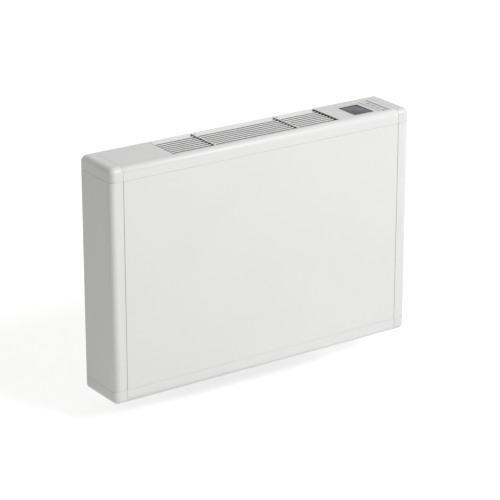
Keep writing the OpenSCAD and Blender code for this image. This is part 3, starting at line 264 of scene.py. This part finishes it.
def rgba(red, green, blue):
    """An sRGB colour, 0 to 255, as the linear colour that a shader takes."""

    def linear(c):
        c = c / 255
        return c / 12.92 if c <= 0.04045 else ((c + 0.055) / 1.055) ** 2.4

    return (linear(red), linear(green), linear(blue), 1.0)


def object_point(nodes):
    """The place in the object's own coordinates."""
    return new_node(nodes, "TexCoord").outputs["Object"]


def object_axes(nodes, links):
    """The separate X, Y and Z of the object's own coordinates."""
    axes = new_node(nodes, "SeparateXYZ")
    links.new(object_point(nodes), axes.inputs["Vector"])
    return axes.outputs


def noise(nodes, links, scale, detail=2.0, stretch=(1, 1, 1)):
    """Noise from 0 to 1 in the object's own coordinates, with about scale features in a metre."""
    mapping = new_node(nodes, "Mapping", Scale=stretch)
    texture = new_node(nodes, "TexNoise", Scale=scale, Detail=detail)
    links.new(object_point(nodes), mapping.inputs["Vector"])
    links.new(mapping.outputs["Vector"], texture.inputs["Vector"])
    return texture.outputs["Fac"]


def bands(nodes, links, direction, pitch):
    """Waves from 0 to 1 across the X or Y of the object's own coordinates, one in each pitch metres."""
    wave = new_node(nodes, "TexWave", Scale=WAVE_PITCH / pitch)
    wave.bands_direction = direction
    links.new(object_point(nodes), wave.inputs["Vector"])
    return wave.outputs["Fac"]


def rescale(nodes, links, value, **limits):
    """The value taken from one range to another, each 0 to 1 where its limits aren't given."""
    span = new_node(nodes, "MapRange", **limits)
    links.new(value, span.inputs["Value"])
    return span.outputs["Result"]


def calculate(nodes, links, operation, first, second):
    """The result of a sum on two values, each a socket or a number."""
    node = new_node(nodes, "Math")
    node.operation = operation
    for socket, value in zip(node.inputs, (first, second)):
        if isinstance(value, float):
            socket.default_value = value
        else:
            links.new(value, socket)
    return node.outputs["Value"]


def mix_colour(nodes, links, socket, share, first, second):
    """The colour at the socket goes from the first to the second as the share goes from 0 to 1."""
    mix = new_node(nodes, "Mix")
    mix.data_type = "RGBA"
    links.new(share, mix.inputs["Factor"])
    first_colour, second_colour = [entry for entry in mix.inputs if entry.type == "RGBA"]
    first_colour.default_value = first
    second_colour.default_value = second
    links.new([result for result in mix.outputs if result.type == "RGBA"][0], socket)


def colour_stops(nodes, links, shader, value, stops):
    """The shader's colour passes through the stops, each a position and a colour, as the value rises."""
    ramp = new_node(nodes, "ValToRGB")
    elements = ramp.color_ramp.elements
    for element, (position, colour) in ((elements[0], stops[0]), (elements[1], stops[-1])):
        element.position = position
        element.color = colour
    for position, colour in stops[1:-1]:
        elements.new(position).color = colour
    links.new(value, ramp.inputs["Fac"])
    links.new(ramp.outputs["Color"], shader.inputs["Base Color"])


def vary_colour(nodes, links, shader, value, first, second):
    """The shader's colour wanders between two colours with the value."""
    colour_stops(nodes, links, shader, value, [(FIRST_COLOUR_TO, first), (SECOND_COLOUR_FROM, second)])


def vary_roughness(nodes, links, shader, value, low, high):
    """The shader's roughness wanders between two values with the value."""
    links.new(rescale(nodes, links, value, To_Min=low, To_Max=high), shader.inputs["Roughness"])


def add_bump(nodes, links, shader, value, height):
    """The value raises the surface by up to height metres."""
    bump = new_node(nodes, "Bump", Distance=height)
    links.new(value, bump.inputs["Height"])
    links.new(bump.outputs["Normal"], shader.inputs["Normal"])


def add_grain(nodes, links, shader, roughness, spread, grain, height):
    """A fine grain that raises the surface, and whose roughness wanders by the spread either way."""
    fine = noise(nodes, links, grain)
    vary_roughness(nodes, links, shader, fine, roughness - spread, roughness + spread)
    add_bump(nodes, links, shader, fine, height)


def paint(name, first, second, roughness, grain=PAINT_GRAIN):
    """Powder coat: an even colour with a faint cloudiness, and the fine peel of a baked finish."""
    material, nodes, links, shader = principled(name, Specular_IOR_Level=0.5)
    vary_colour(nodes, links, shader, noise(nodes, links, PAINT_CLOUD), first, second)
    add_grain(nodes, links, shader, roughness, PAINT_SPREAD, grain, PAINT_PEEL)
    return material


def plastic(name, first, second, roughness, grain=PLASTIC_GRAIN, height=PLASTIC_TEXTURE):
    """Moulded plastic with the fine spark-eroded texture of its tool."""
    material, nodes, links, shader = principled(name, Specular_IOR_Level=0.5)
    vary_colour(nodes, links, shader, noise(nodes, links, PLASTIC_CLOUD), first, second)
    add_grain(nodes, links, shader, roughness, PLASTIC_SPREAD, grain, height)
    return material


def metal(name, first, second, roughness, scale, stretch=(1, 1, 1)):
    """Bare metal whose colour and roughness wander with its handling."""
    material, nodes, links, shader = principled(name, Metallic=1.0)
    marks = noise(nodes, links, scale, METAL_DETAIL, stretch)
    vary_colour(nodes, links, shader, marks, first, second)
    vary_roughness(nodes, links, shader, marks, roughness - METAL_SMOOTHER, roughness + METAL_ROUGHER)
    return material


def galvanised(name):
    """Zinc-coated sheet: pale crystals of different brightness."""
    material, nodes, links, shader = principled(name, Metallic=1.0)
    cells = new_node(nodes, "TexVoronoi", Scale=ZINC_CRYSTALS)
    links.new(object_point(nodes), cells.inputs["Vector"])
    shades = new_node(nodes, "SeparateColor")
    links.new(cells.outputs["Color"], shades.inputs["Color"])
    stops = [(0, rgba(178, 182, 185)), (1, rgba(203, 206, 209))]
    colour_stops(nodes, links, shader, shades.outputs["Red"], stops)
    vary_roughness(nodes, links, shader, shades.outputs["Green"], ZINC_SMOOTH, ZINC_ROUGH)
    return material


def display_glass(name, low, high):
    """An unlit display under its clear window, with the dark edge of its seal round it."""
    material, nodes, links, shader = principled(name, Roughness=0.34, Specular_IOR_Level=0.15)
    axes = object_axes(nodes, links)
    inside = [calculate(nodes, links, "SUBTRACT", axes[side], low[side]) for side in (0, 1)]
    inside += [calculate(nodes, links, "SUBTRACT", high[side], axes[side]) for side in (0, 1)]
    nearest = inside[0]
    for distance in inside[1:]:
        nearest = calculate(nodes, links, "MINIMUM", nearest, distance)
    within = calculate(nodes, links, "GREATER_THAN", nearest, DISPLAY_BORDER)
    mix_colour(nodes, links, shader.inputs["Base Color"], within, rgba(30, 31, 33), rgba(88, 92, 91))
    return material


def shaded_grille_colour(name, top):
    """Satin white, with painted shade that greys the blades downwards and a painted highlight that whitens
    the ribs' tops.
    """
    material, nodes, links, shader = principled(name, Specular_IOR_Level=0.5)
    height = rescale(nodes, links, object_axes(nodes, links)[2], From_Min=top - BLADE_DEPTH, From_Max=top)
    ribs_at = 1 - RIB_RISE / BLADE_DEPTH
    blade_white, rib_painted_highlight = rgba(245, 246, 244), rgba(248, 248, 246)
    stops = [(0, rgba(120, 121, 120)), (HALF_SHADE_AT, rgba(168, 169, 168)), (NO_SHADE_AT, blade_white),
             (ribs_at, blade_white), (ribs_at + RIB_HIGHLIGHT_BLEND, rib_painted_highlight), (1, rib_painted_highlight)]
    colour_stops(nodes, links, shader, height, stops)
    add_grain(nodes, links, shader, WHITE_ROUGHNESS, PAINT_SPREAD, PAINT_GRAIN, PAINT_PEEL)
    return material


def ribbon_cable(name):
    """Grey ribbon cable, ridged along its wires, with painted shade darkening the grooves between them."""
    material, nodes, links, shader = principled(name, Roughness=0.45)
    ridges = bands(nodes, links, "X", RIBBON_PITCH)
    # Painted shade: darker in the grooves between the wires, lighter on their tops
    vary_colour(nodes, links, shader, ridges, rgba(150, 150, 146), rgba(206, 206, 200))
    add_bump(nodes, links, shader, ridges, WEAVE_RISE)
    return material


def net(name):
    """Woven filter cloth: dark gaps between crossing threads."""
    material, nodes, links, shader = principled(name, Roughness=0.7)
    across, along = bands(nodes, links, "X", NET_PITCH), bands(nodes, links, "Y", NET_PITCH)
    threads = calculate(nodes, links, "MAXIMUM", across, along)
    weave = rescale(nodes, links, threads, From_Min=NET_GAP_TO, From_Max=NET_THREAD_FROM)
    mix_colour(nodes, links, shader.inputs["Base Color"], weave, rgba(28, 29, 31), rgba(104, 107, 112))
    add_bump(nodes, links, shader, weave, WEAVE_RISE)
    return material


# The finishes. Paint, plastic and metal have two colours that they wander between, and a roughness.
WHITE_PAINT = paint("casing_paint", rgba(235, 236, 234), rgba(237, 237, 235), WHITE_ROUGHNESS)
WHITE_CAP = plastic("cap_plastic", rgba(231, 232, 229), rgba(235, 235, 233), roughness=0.36)
# The grille's colour holds painted shade down its blades and a painted highlight on its ribs' tops
GRILLE_PAINTED_SHADE = shaded_grille_colour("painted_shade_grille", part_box("outlet_grille")[1].z)
BEZEL_WHITE = plastic("bezel_plastic", rgba(226, 226, 232), rgba(230, 230, 235), roughness=0.34)
BUTTON_GREY = plastic("button_plastic", rgba(178, 178, 187), rgba(185, 185, 193), roughness=0.40)
DISPLAY = display_glass("display_glass", *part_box("display_window"))
ZINC = galvanised("zinc_sheet")
FASTENER = metal("zinc_plate", rgba(176, 179, 182), rgba(206, 208, 210), roughness=0.30, scale=120.0)
BLACK_PLASTIC = plastic("black_plastic", rgba(38, 38, 40), rgba(48, 48, 50), roughness=0.48, grain=1200.0,
                        height=0.00002)
MOTOR_PAINT = paint("motor_paint", rgba(74, 77, 82), rgba(84, 87, 92), roughness=0.45, grain=700.0)
BRONZE = metal("bearing_bronze", rgba(150, 118, 66), rgba(184, 150, 90), roughness=0.38, scale=300.0)
FIN_STOCK = metal("fin_stock", rgba(196, 200, 204), rgba(222, 225, 228), roughness=0.28, scale=40.0)
COPPER = metal("copper_tube", rgba(158, 86, 56), rgba(204, 124, 86), roughness=0.26, scale=30.0,
               stretch=(0.2, 1, 1))
BRASS = metal("brass_fitting", rgba(168, 138, 76), rgba(206, 178, 110), roughness=0.28, scale=60.0)
LEVER_RED = plastic("lever_red", rgba(168, 34, 30), rgba(184, 40, 34), roughness=0.30)
LEVER_BLUE = plastic("lever_blue", rgba(32, 66, 148), rgba(38, 76, 162), roughness=0.30)
BOARD_GREEN = plastic("board_green", rgba(28, 84, 50), rgba(36, 98, 60), roughness=0.30)
TERMINAL_WHITE = plastic("terminal_plastic", rgba(214, 214, 208), rgba(222, 222, 216), roughness=0.40)
RIBBON = ribbon_cable("ribbon_cable")
NET = net("filter_net")
# Painted shade: the grey of the strip in the pocket's groove
GROOVE_SHADE_GREY = plastic("painted_groove_shade", rgba(118, 120, 124), rgba(128, 130, 134), roughness=0.6)
# Painted shade: the dark sheet in the gaps beside the front panel
SEAM_SHADE_DARK = plastic("seam_painted_shade", rgba(44, 44, 46), rgba(54, 54, 56), roughness=0.8, grain=900.0,
                    height=0.0001)
LEAD_BLACK = plastic("lead_black", rgba(30, 30, 32), rgba(38, 38, 40), roughness=0.42)
LEAD_GREY = plastic("lead_grey", rgba(104, 106, 110), rgba(114, 116, 120), roughness=0.42)

FINISHES = {
    WHITE_PAINT: ["front_panel", "left_side_panel", "right_side_panel", "top_rail", "bottom_rail"],
    WHITE_CAP: ["corner_cap_top_left", "corner_cap_top_right", "corner_cap_bottom_left",
                "corner_cap_bottom_right"],
    GRILLE_PAINTED_SHADE: ["outlet_grille"],
    BEZEL_WHITE: ["control_bezel"],
    BUTTON_GREY: ["button_first", "button_second", "button_third", "button_fourth"],
    DISPLAY: ["display_window"],
    ZINC: ["panel_stiffeners", "back_plate", "left_bulkhead", "right_bulkhead", "front_duct_plate",
           "rear_duct_plate", "fan_scroll", "fan_tongue", "motor_bracket", "coil_end_left",
           "coil_end_right"],
    FASTENER: ["panel_studs", "casing_rivets", "frame_screws", "fan_stub", "motor_shaft"],
    BLACK_PLASTIC: ["grille_combs", "display_frame", "panel_catches", "display_module", "fan_impeller",
                    "control_box", "control_box_lid", "cable_gland", "temperature_sensor", "filter_frame"],
    MOTOR_PAINT: ["motor_body"],
    BRONZE: ["fan_bearing"],
    FIN_STOCK: ["coil_fins"],
    COPPER: ["coil_tubes", "flow_pipe", "return_pipe"],
    BRASS: ["flow_valve", "return_valve", "air_vent", "vent_screw"],
    LEVER_RED: ["flow_lever"],
    LEVER_BLUE: ["return_lever"],
    BOARD_GREEN: ["button_board", "main_board"],
    TERMINAL_WHITE: ["terminal_block"],
    RIBBON: ["display_ribbon"],
    NET: ["filter_mesh"],
}

# The nodes whose sharp edges are rounded, so that they catch the light
ROUNDED = FINISHES[WHITE_PAINT] + FINISHES[WHITE_CAP] + FINISHES[BEZEL_WHITE]


def dress_nodes():
    """Gives every node its finish."""
    for material, names in FINISHES.items():
        for name in names:
            data = NODES[name].data
            data.materials.clear()
            data.materials.append(material)


def round_edges():
    """Rounds the sharp edges of the casing and the bezel."""
    for name in ROUNDED:
        node = NODES[name]
        weld = node.modifiers.new("weld", "WELD")
        weld.merge_threshold = WELD
        bevel = node.modifiers.new("edges", "BEVEL")
        bevel.width = EDGE_ROUND
        bevel.segments = 2
        bevel.limit_method = "ANGLE"
        bevel.angle_limit = math.radians(EDGE_ANGLE)
        bevel.use_clamp_overlap = True


def finished_mesh(name, shape):
    """The mesh of a bmesh, with its faces turned outwards. The bmesh is used up."""
    bmesh.ops.recalc_face_normals(shape, faces=shape.faces)
    mesh = bpy.data.meshes.new(name)
    shape.to_mesh(mesh)
    shape.free()
    return mesh


def piece(name, shape, material, replaced=()):
    """Makes a piece of the casing from a bmesh, smooth but for its sharp edges."""
    bmesh.ops.remove_doubles(shape, verts=shape.verts, dist=JOIN)
    mesh = finished_mesh(name, shape)
    mesh.shade_smooth()
    mesh.set_sharp_from_angle(angle=math.radians(CURVE_ANGLE))
    mesh.materials.append(material)
    made = link_object(name, mesh)
    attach(made, "casing")
    if replaced:
        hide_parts(*replaced)


def grid(firsts, seconds):
    """Every pair of a first and a second value, the second changing faster."""
    return [(first, second) for first in firsts for second in seconds]


def arc(angle, steps):
    """The angles from 0 to the given one, in even steps."""
    return [angle * k / steps for k in range(steps + 1)]


def lathe(shape, at, axis, profile, steps=TURN_STEPS):
    """Turns a profile of (distance along the axis, radius) points round the axis through a place."""
    axis = Vector(axis).normalized()
    side = axis.orthogonal().normalized()
    other = axis.cross(side)
    rings = []
    for along, radius in profile:
        centre = Vector(at) + axis * along
        turns = [2 * math.pi * k / steps for k in range(steps if radius else 1)]
        spokes = [side * math.cos(a) + other * math.sin(a) for a in turns]
        rings.append([shape.verts.new(centre + spoke * radius) for spoke in spokes])
    for first, second in zip(rings, rings[1:]):
        for k in range(steps):
            corners = [first[k % len(first)], first[(k + 1) % len(first)],
                       second[(k + 1) % len(second)], second[k % len(second)]]
            corners = list(dict.fromkeys(corners))
            if len(corners) > 2:
                shape.faces.new(corners)


def prism(shape, outline, place):
    """A solid between two copies of an outline. place says where a point lies at an end, 0 or 1."""
    ends = [[shape.verts.new(place(u, v, end)) for u, v in outline] for end in (0, 1)]
    shape.faces.new(ends[0])
    shape.faces.new(reversed(ends[1]))
    for k in range(len(outline)):
        following = (k + 1) % len(outline)
        shape.faces.new((ends[0][k], ends[1][k], ends[1][following], ends[0][following]))


def cut(shape, cutter):
    """The mesh of one bmesh with the shape of another taken away."""
    parts = (("whole", shape), ("cutter", cutter))
    whole, tool = [link_object(name, finished_mesh(name, part)) for name, part in parts]
    boolean = whole.modifiers.new("cut", "BOOLEAN")
    boolean.object = tool
    boolean.operation = "DIFFERENCE"
    boolean.solver = "EXACT"
    result = bpy.data.meshes.new_from_object(whole.evaluated_get(bpy.context.evaluated_depsgraph_get()))
    for made in (whole, tool):
        bpy.data.objects.remove(made)
    return result


def cross_cutter():
    """The cross that is cut into a screw's head, from in front of it and narrowing to its bottom."""
    outline = []
    arm = [(CROSS_REACH, -CROSS_HALF), (CROSS_REACH, CROSS_HALF), (CROSS_HALF, CROSS_HALF)]
    for _ in range(4):
        outline += arm
        arm = [(-v, u) for u, v in arm]

    def taper(u, v, end):
        return Vector((u * CROSS_TAPER, CROSS_DEPTH, v * CROSS_TAPER) if end else (u, -CROSS_REACH, v))

    cutter = bmesh.new()
    prism(cutter, outline, taper)
    return cutter


def pan_screw(length):
    """The mesh of a pan-head screw along Y, from the cross in its head to the end of its thread."""
    profile = [(SCREW_HEAD_H * along, SCREW_HEAD_R * out) for along, out in PAN_HEAD]
    profile.append((SCREW_HEAD_H, SCREW_R))
    along = SCREW_HEAD_H + THREAD_PITCH
    while along < length - THREAD_PITCH:
        profile += [(along, SCREW_R), (along + THREAD_PITCH / 2, SCREW_R - THREAD_DEPTH)]
        along += THREAD_PITCH
    profile += [(length - THREAD_DEPTH, SCREW_R), (length, SCREW_R - THREAD_DEPTH), (length, 0)]
    shape = bmesh.new()
    lathe(shape, (0, 0, 0), (0, 1, 0), profile)
    return cut(shape, cross_cutter())


def turn_y(degrees):
    """A turn about Y."""
    return Matrix.Rotation(math.radians(degrees), 4, "Y")


def add_copy(shape, mesh, place, turn):
    """Adds a copy of the mesh, turned and then moved to the place."""
    start = len(shape.verts)
    shape.from_mesh(mesh)
    shape.verts.ensure_lookup_table()
    bmesh.ops.transform(shape, matrix=Matrix.Translation(place) @ turn, verts=shape.verts[start:])


def make_frame_screws():
    """The screws that join the bulkheads to the back plate and to the front duct plate."""
    low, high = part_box("frame_screws")
    xs = (low.x + SCREW_HEAD_R, high.x - SCREW_HEAD_R)
    zs = (low.z + SCREW_HEAD_R, (low.z + high.z) / 2, high.z - SCREW_HEAD_R)
    front, rear = pan_screw(FRONT_SCREW_L), pan_screw(REAR_SCREW_L)
    shape = bmesh.new()
    for k, (x, z) in enumerate(grid(xs, zs)):
        add_copy(shape, front, (x, low.y, z), turn_y(FRAME_TURN * k))
        add_copy(shape, rear, (x, high.y - REAR_SCREW_L, z), turn_y(FRAME_TURN * k))
    piece("frame_screw_set", shape, FASTENER, ["frame_screws"])


def make_rivets():
    """The blind rivets that hold the back plate to the side panels and the rails."""
    low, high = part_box("casing_rivets")
    side_x = high.x - RIVET_HEAD_R
    places = grid((-side_x, side_x), RIVET_SIDE_ZS) + grid((-RIVET_RAIL_X, RIVET_RAIL_X), RIVET_RAIL_ZS)
    profile = [(RIVET_HEAD_H * along, RIVET_HEAD_R * out) for along, out in RIVET_HEAD]
    profile.append((RIVET_HEAD_H, RIVET_R))
    profile += [(RIVET_L - RIVET_HEAD_H * back, RIVET_R * out) for back, out in RIVET_TAIL]
    shape = bmesh.new()
    for x, z in places:
        lathe(shape, (x, low.y, z), (0, 1, 0), profile)
    piece("casing_rivet_set", shape, FASTENER, ["casing_rivets"])


def make_lid_screws():
    """The small screws at the corners of the control box's lid."""
    low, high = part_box("control_box_lid")
    xs = (low.x + LID_SCREW_IN, high.x - LID_SCREW_IN)
    zs = (low.z + LID_SCREW_IN, high.z - LID_SCREW_IN)
    small = pan_screw(SHORT_SCREW_L)
    y = low.y - SCREW_HEAD_H * LID_SCREW_SCALE
    shape = bmesh.new()
    for k, (x, z) in enumerate(grid(xs, zs)):
        turn = turn_y(LID_FIRST_TURN + LID_TURN * k) @ Matrix.Scale(LID_SCREW_SCALE, 4)
        add_copy(shape, small, (x, y, z), turn)
    piece("lid_screws", shape, FASTENER)


def make_cap_screws():
    """The small screws in a ring on the motor's cap, with their heads to the right."""
    low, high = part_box("motor_body")
    x = high.x + SCREW_HEAD_H * CAP_SCREW_SCALE
    middle_z = (low.z + high.z) / 2
    small = pan_screw(SHORT_SCREW_L)
    face_right = Matrix.Rotation(math.radians(90), 4, "Z")
    shape = bmesh.new()
    for k in range(CAP_SCREWS):
        angle = math.radians(90 + 360 * k / CAP_SCREWS)
        place = (x, CAP_SCREW_OUT * math.cos(angle), middle_z + CAP_SCREW_OUT * math.sin(angle))
        turn = face_right @ turn_y(CAP_TURN * k) @ Matrix.Scale(CAP_SCREW_SCALE, 4)
        add_copy(shape, small, place, turn)
    piece("motor_cap_screws", shape, FASTENER)


def lead(name, points, radius, material):
    """A round lead through the points."""
    curve = bpy.data.curves.new(name, "CURVE")
    curve.dimensions = "3D"
    curve.bevel_depth = radius
    curve.bevel_resolution = 4
    curve.resolution_u = 6
    curve.use_fill_caps = True
    spline = curve.splines.new("BEZIER")
    spline.bezier_points.add(len(points) - 1)
    for point, place in zip(spline.bezier_points, points):
        point.co = place
        point.handle_left_type = point.handle_right_type = "AUTO"
    curve.materials.append(material)
    made = link_object(name, curve)
    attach(made, "casing")


def make_leads():
    """The motor's lead and the sensor's lead to the control box."""
    lead("motor_lead", MOTOR_LEAD, MOTOR_LEAD_R, LEAD_BLACK)
    lead("sensor_lead", SENSOR_LEAD, SENSOR_LEAD_R, LEAD_GREY)


def clip_outline(centre):
    """A clip's section: a foot on the plate, and a loop over a lead that lies centre from the plate."""
    steps = arc(math.pi, CLIP_STEPS)
    thick = CLIP_OUTER - CLIP_INNER
    outer = [(-CLIP_OUTER * math.cos(a), centre + CLIP_OUTER * math.sin(a)) for a in steps]
    inner = [(CLIP_INNER * math.cos(a), centre + CLIP_INNER * math.sin(a)) for a in steps]
    return [(-CLIP_FOOT, 0), (-CLIP_FOOT, thick), (-CLIP_OUTER, thick), *outer,
            (CLIP_OUTER, 0), (CLIP_INNER, 0), *inner, (-CLIP_INNER, 0)]


def make_lead_clips():
    """The clips that hold the sensor's lead on the front duct plate, each with a head on its foot."""
    plate_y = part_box("front_duct_plate")[0].y
    outline = clip_outline(plate_y - RUN_Y)
    head_y = plate_y - (CLIP_OUTER - CLIP_INNER) - CLIP_HEAD_RISE
    head_out = (CLIP_FOOT + CLIP_OUTER) / 2
    shape = bmesh.new()
    for z in CLIP_ZS:
        prism(shape, outline, lambda u, v, end: Vector((RUN_X + u, plate_y - v, z + (end - 0.5) * CLIP_W)))
        lathe(shape, (RUN_X - head_out, head_y, z), (0, 1, 0), CLIP_HEAD, SMALL_TURN_STEPS)
    for x in CLIP_XS:
        prism(shape, outline, lambda u, v, end: Vector((x + (end - 0.5) * CLIP_W, plate_y - v, RUN_Z - u)))
        lathe(shape, (x, head_y, RUN_Z + head_out), (0, 1, 0), CLIP_HEAD, SMALL_TURN_STEPS)
    piece("lead_clips", shape, LEAD_BLACK)


def make_lead_grommets():
    """The grommets where the leads leave the motor and enter the control box."""
    x, y, z = MOTOR_LEAD[0]
    end_x, end_y, _ = MOTOR_LEAD[-1]
    _, sensor_y, sensor_z = SENSOR_LEAD[-1]
    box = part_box("control_box")[0]
    grommets = [((x, y, z + GROMMET_UP), (0, 0, 1), MOTOR_LEAD_R),
                ((end_x, end_y, box.z), (0, 0, -1), MOTOR_LEAD_R),
                ((box.x, sensor_y, sensor_z), (-1, 0, 0), SENSOR_LEAD_R)]
    shape = bmesh.new()
    for place, axis, radius in grommets:
        outer = [(GROMMET_L * along, (radius + GROMMET_WALL) * out) for along, out in GROMMET]
        lathe(shape, place, axis, [(0, radius), *outer, (GROMMET_L, radius), (0, radius)])
    piece("lead_grommets", shape, BLACK_PLASTIC)


def make_seam_shade_sheets():
    """A dark sheet in the upright gaps beside the front panel, fixed to the side panels' edges, as painted
    shade for the gaps' depth.
    """
    low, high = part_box("front_panel")
    panel_x = high.x + SEAM_SHADE_CLEAR
    ends = (low.z + SEAM_SHADE_CLEAR, high.z - SEAM_SHADE_CLEAR)
    section = [(panel_x, SEAM_SHADE_DEPTH), (SEAM_X, SEAM_SHADE_DEPTH), (SEAM_X, SEAM_SHADE_DROP),
               ((panel_x + SEAM_X) / 2, SEAM_SHADE_DROP - SEAM_SHADE_CLEAR), (panel_x, SEAM_SHADE_DROP)]
    shape = bmesh.new()
    for side in (-1, 1):
        prism(shape, section, lambda u, v, end: Vector((side * u, low.y + v, ends[end])))
    piece("seam_shade_sheets", shape, SEAM_SHADE_DARK)


def make_cap_lips():
    """The corner caps' white lips, in the seams between each cap, its side panel and its rail."""
    low, high = CAD_BOX

    def run(depth):
        r = CASING_R - depth
        bend = [(CASING_R - r * math.sin(a), CASING_R - r * math.cos(a))
                for a in arc(math.pi / 2, LIP_STEPS)]
        return [(CAP_W - LIP_END, depth), *bend, (depth, high.y - low.y - LIP_DEPTH)]

    by_side = run(SIDE_LIP_DROP) + run(LIP_DEPTH)[::-1]
    by_rail = run(RAIL_LIP_DROP) + run(LIP_DEPTH)[::-1]
    across = (CAP_W - LIP_W / 2, CAP_W + LIP_W / 2)
    shape = bmesh.new()
    for (x, inward), (z, onward) in grid(((low.x, 1), (high.x, -1)), ((low.z, 1), (high.z, -1))):
        prism(shape, by_side,
              lambda u, v, end: Vector((x + inward * u, low.y + v, z + onward * across[end])))
        prism(shape, by_rail,
              lambda u, v, end: Vector((x + inward * across[end], low.y + v, z + onward * u)))
    piece("cap_seam_lips", shape, WHITE_CAP)


def make_display_lens():
    """The display's lens, which fills the display frame to just below its face."""
    low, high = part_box("display_frame")
    xs = (low.x + LENS_IN, high.x - LENS_IN)
    ys = (low.y + LENS_IN, high.y - LENS_IN)
    outline = [(xs[0], ys[0]), (xs[1], ys[0]), (xs[1], ys[1]), (xs[0], ys[1])]
    levels = (low.z, high.z - LENS_DROP)
    shape = bmesh.new()
    prism(shape, outline, lambda u, v, end: Vector((u, v, levels[end])))
    top_edges = [edge for edge in shape.edges if all(v.co.z > levels[1] - WELD for v in edge.verts)]
    bmesh.ops.bevel(shape, geom=top_edges, offset=LENS_BEVEL, segments=2, profile=0.5, affect="EDGES")
    piece("display_lens", shape, DISPLAY)


def make_slot_shade_seal():
    """The seal in the slot at the pocket's right end, black as painted shade for the slot's depth."""
    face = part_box("control_bezel")[1].z
    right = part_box("button_board")[1].x
    left = right - SLOT_SEAL_W
    lip = left - SLOT_SEAL_LIP
    top, foot = face + SLOT_SEAL_RISE, face - SLOT_SEAL_DEEP
    section = [(left, foot), (right, foot), (right, top - SLOT_EDGE_Z), (right - SLOT_EDGE_X, top),
               (lip + SLOT_EDGE_X, top), (lip, top - SLOT_EDGE_Z), (lip, face), (left, face)]
    shape = bmesh.new()
    prism(shape, section, lambda u, v, end: Vector((u, SLOT_SEAL_YS[end], v)))
    piece("slot_shade_seal", shape, BLACK_PLASTIC)


def make_groove_shade_strip():
    """The grey strip in the pocket's groove, with a rounded top, as painted shade for the groove's depth.
    """
    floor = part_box("control_bezel")[1].z - GROOVE_DEPTH
    half = GROOVE_W / 2
    crown = STRIP_CROWN * half
    section = [(GROOVE_X, floor), (GROOVE_X + GROOVE_W, floor)]
    section += [(GROOVE_X + half + half * math.cos(a), floor + STRIP_T - crown + crown * math.sin(a))
                for a in arc(math.pi, STRIP_STEPS)]
    shape = bmesh.new()
    prism(shape, section, lambda u, v, end: Vector((u, GROOVE_YS[end], v)))
    piece("groove_shade_strip", shape, GROOVE_SHADE_GREY)


def seen_directly(nodes, links):
    """1 for what the camera sees directly, in metal or through glass, and 0 for light on other surfaces."""
    path = new_node(nodes, "LightPath")
    share = path.outputs["Is Camera Ray"]
    for ray in ("Is Glossy Ray", "Is Transmission Ray"):
        share = calculate(nodes, links, "MAXIMUM", share, path.outputs[ray])
    return share


def make_floor():
    """A pale floor that keeps the object's shadow and looks white to the camera."""
    bpy.ops.mesh.primitive_plane_add(size=FLOOR_SIZE, location=(0, 0, -FLOOR_DROP))
    floor = bpy.context.object
    floor.name = "floor"
    material, nodes, links = new_material("floor")
    diffuse = new_node(nodes, "BsdfDiffuse", Color=(*FLOOR_COLOUR, 1))
    glow = new_node(nodes, "Emission")
    strength = calculate(nodes, links, "MULTIPLY", seen_directly(nodes, links), FLOOR_GLOW)
    total = new_node(nodes, "AddShader")
    output = new_node(nodes, "OutputMaterial")
    links.new(strength, glow.inputs["Strength"])
    links.new(diffuse.outputs["BSDF"], total.inputs[0])
    links.new(glow.outputs["Emission"], total.inputs[1])
    links.new(total.outputs["Shader"], output.inputs["Surface"])
    floor.data.materials.append(material)


def make_world():
    """Even light all round, which the camera and mirror-like surfaces see as white."""
    world = bpy.data.worlds.new("studio")
    bpy.context.scene.world = world
    world.use_nodes = True
    nodes, links = world.node_tree.nodes, world.node_tree.links
    nodes.clear()
    background = new_node(nodes, "Background")
    output = new_node(nodes, "OutputWorld")
    seen = seen_directly(nodes, links)
    mix_colour(nodes, links, background.inputs["Color"], seen, (*AMBIENT, 1), (1, 1, 1, 1))
    links.new(background.outputs["Background"], output.inputs["Surface"])


def make_key():
    """The large soft lamp."""
    data = bpy.data.lights.new("key", "AREA")
    data.shape = "DISK"
    data.size = KEY_SIZE
    data.energy = KEY_POWER
    data.color = KEY_COLOUR
    lamp = link_object("key", data)
    direction = back_vector(KEY_AZIMUTH, KEY_ELEVATION)
    middle = (CAD_BOX[0] + CAD_BOX[1]) / 2
    lamp.location = middle + direction * KEY_DISTANCE
    lamp.rotation_mode = "QUATERNION"
    lamp.rotation_quaternion = (-direction).to_track_quat("-Z", "Y")


make_camera()
dress_nodes()
round_edges()
make_frame_screws()
make_rivets()
make_lid_screws()
make_cap_screws()
make_leads()
make_lead_clips()
make_lead_grommets()
make_seam_shade_sheets()
make_cap_lips()
make_display_lens()
make_slot_shade_seal()
make_groove_shade_strip()
make_floor()
make_world()
make_key()
bpy.context.scene.view_settings.view_transform = "Standard"
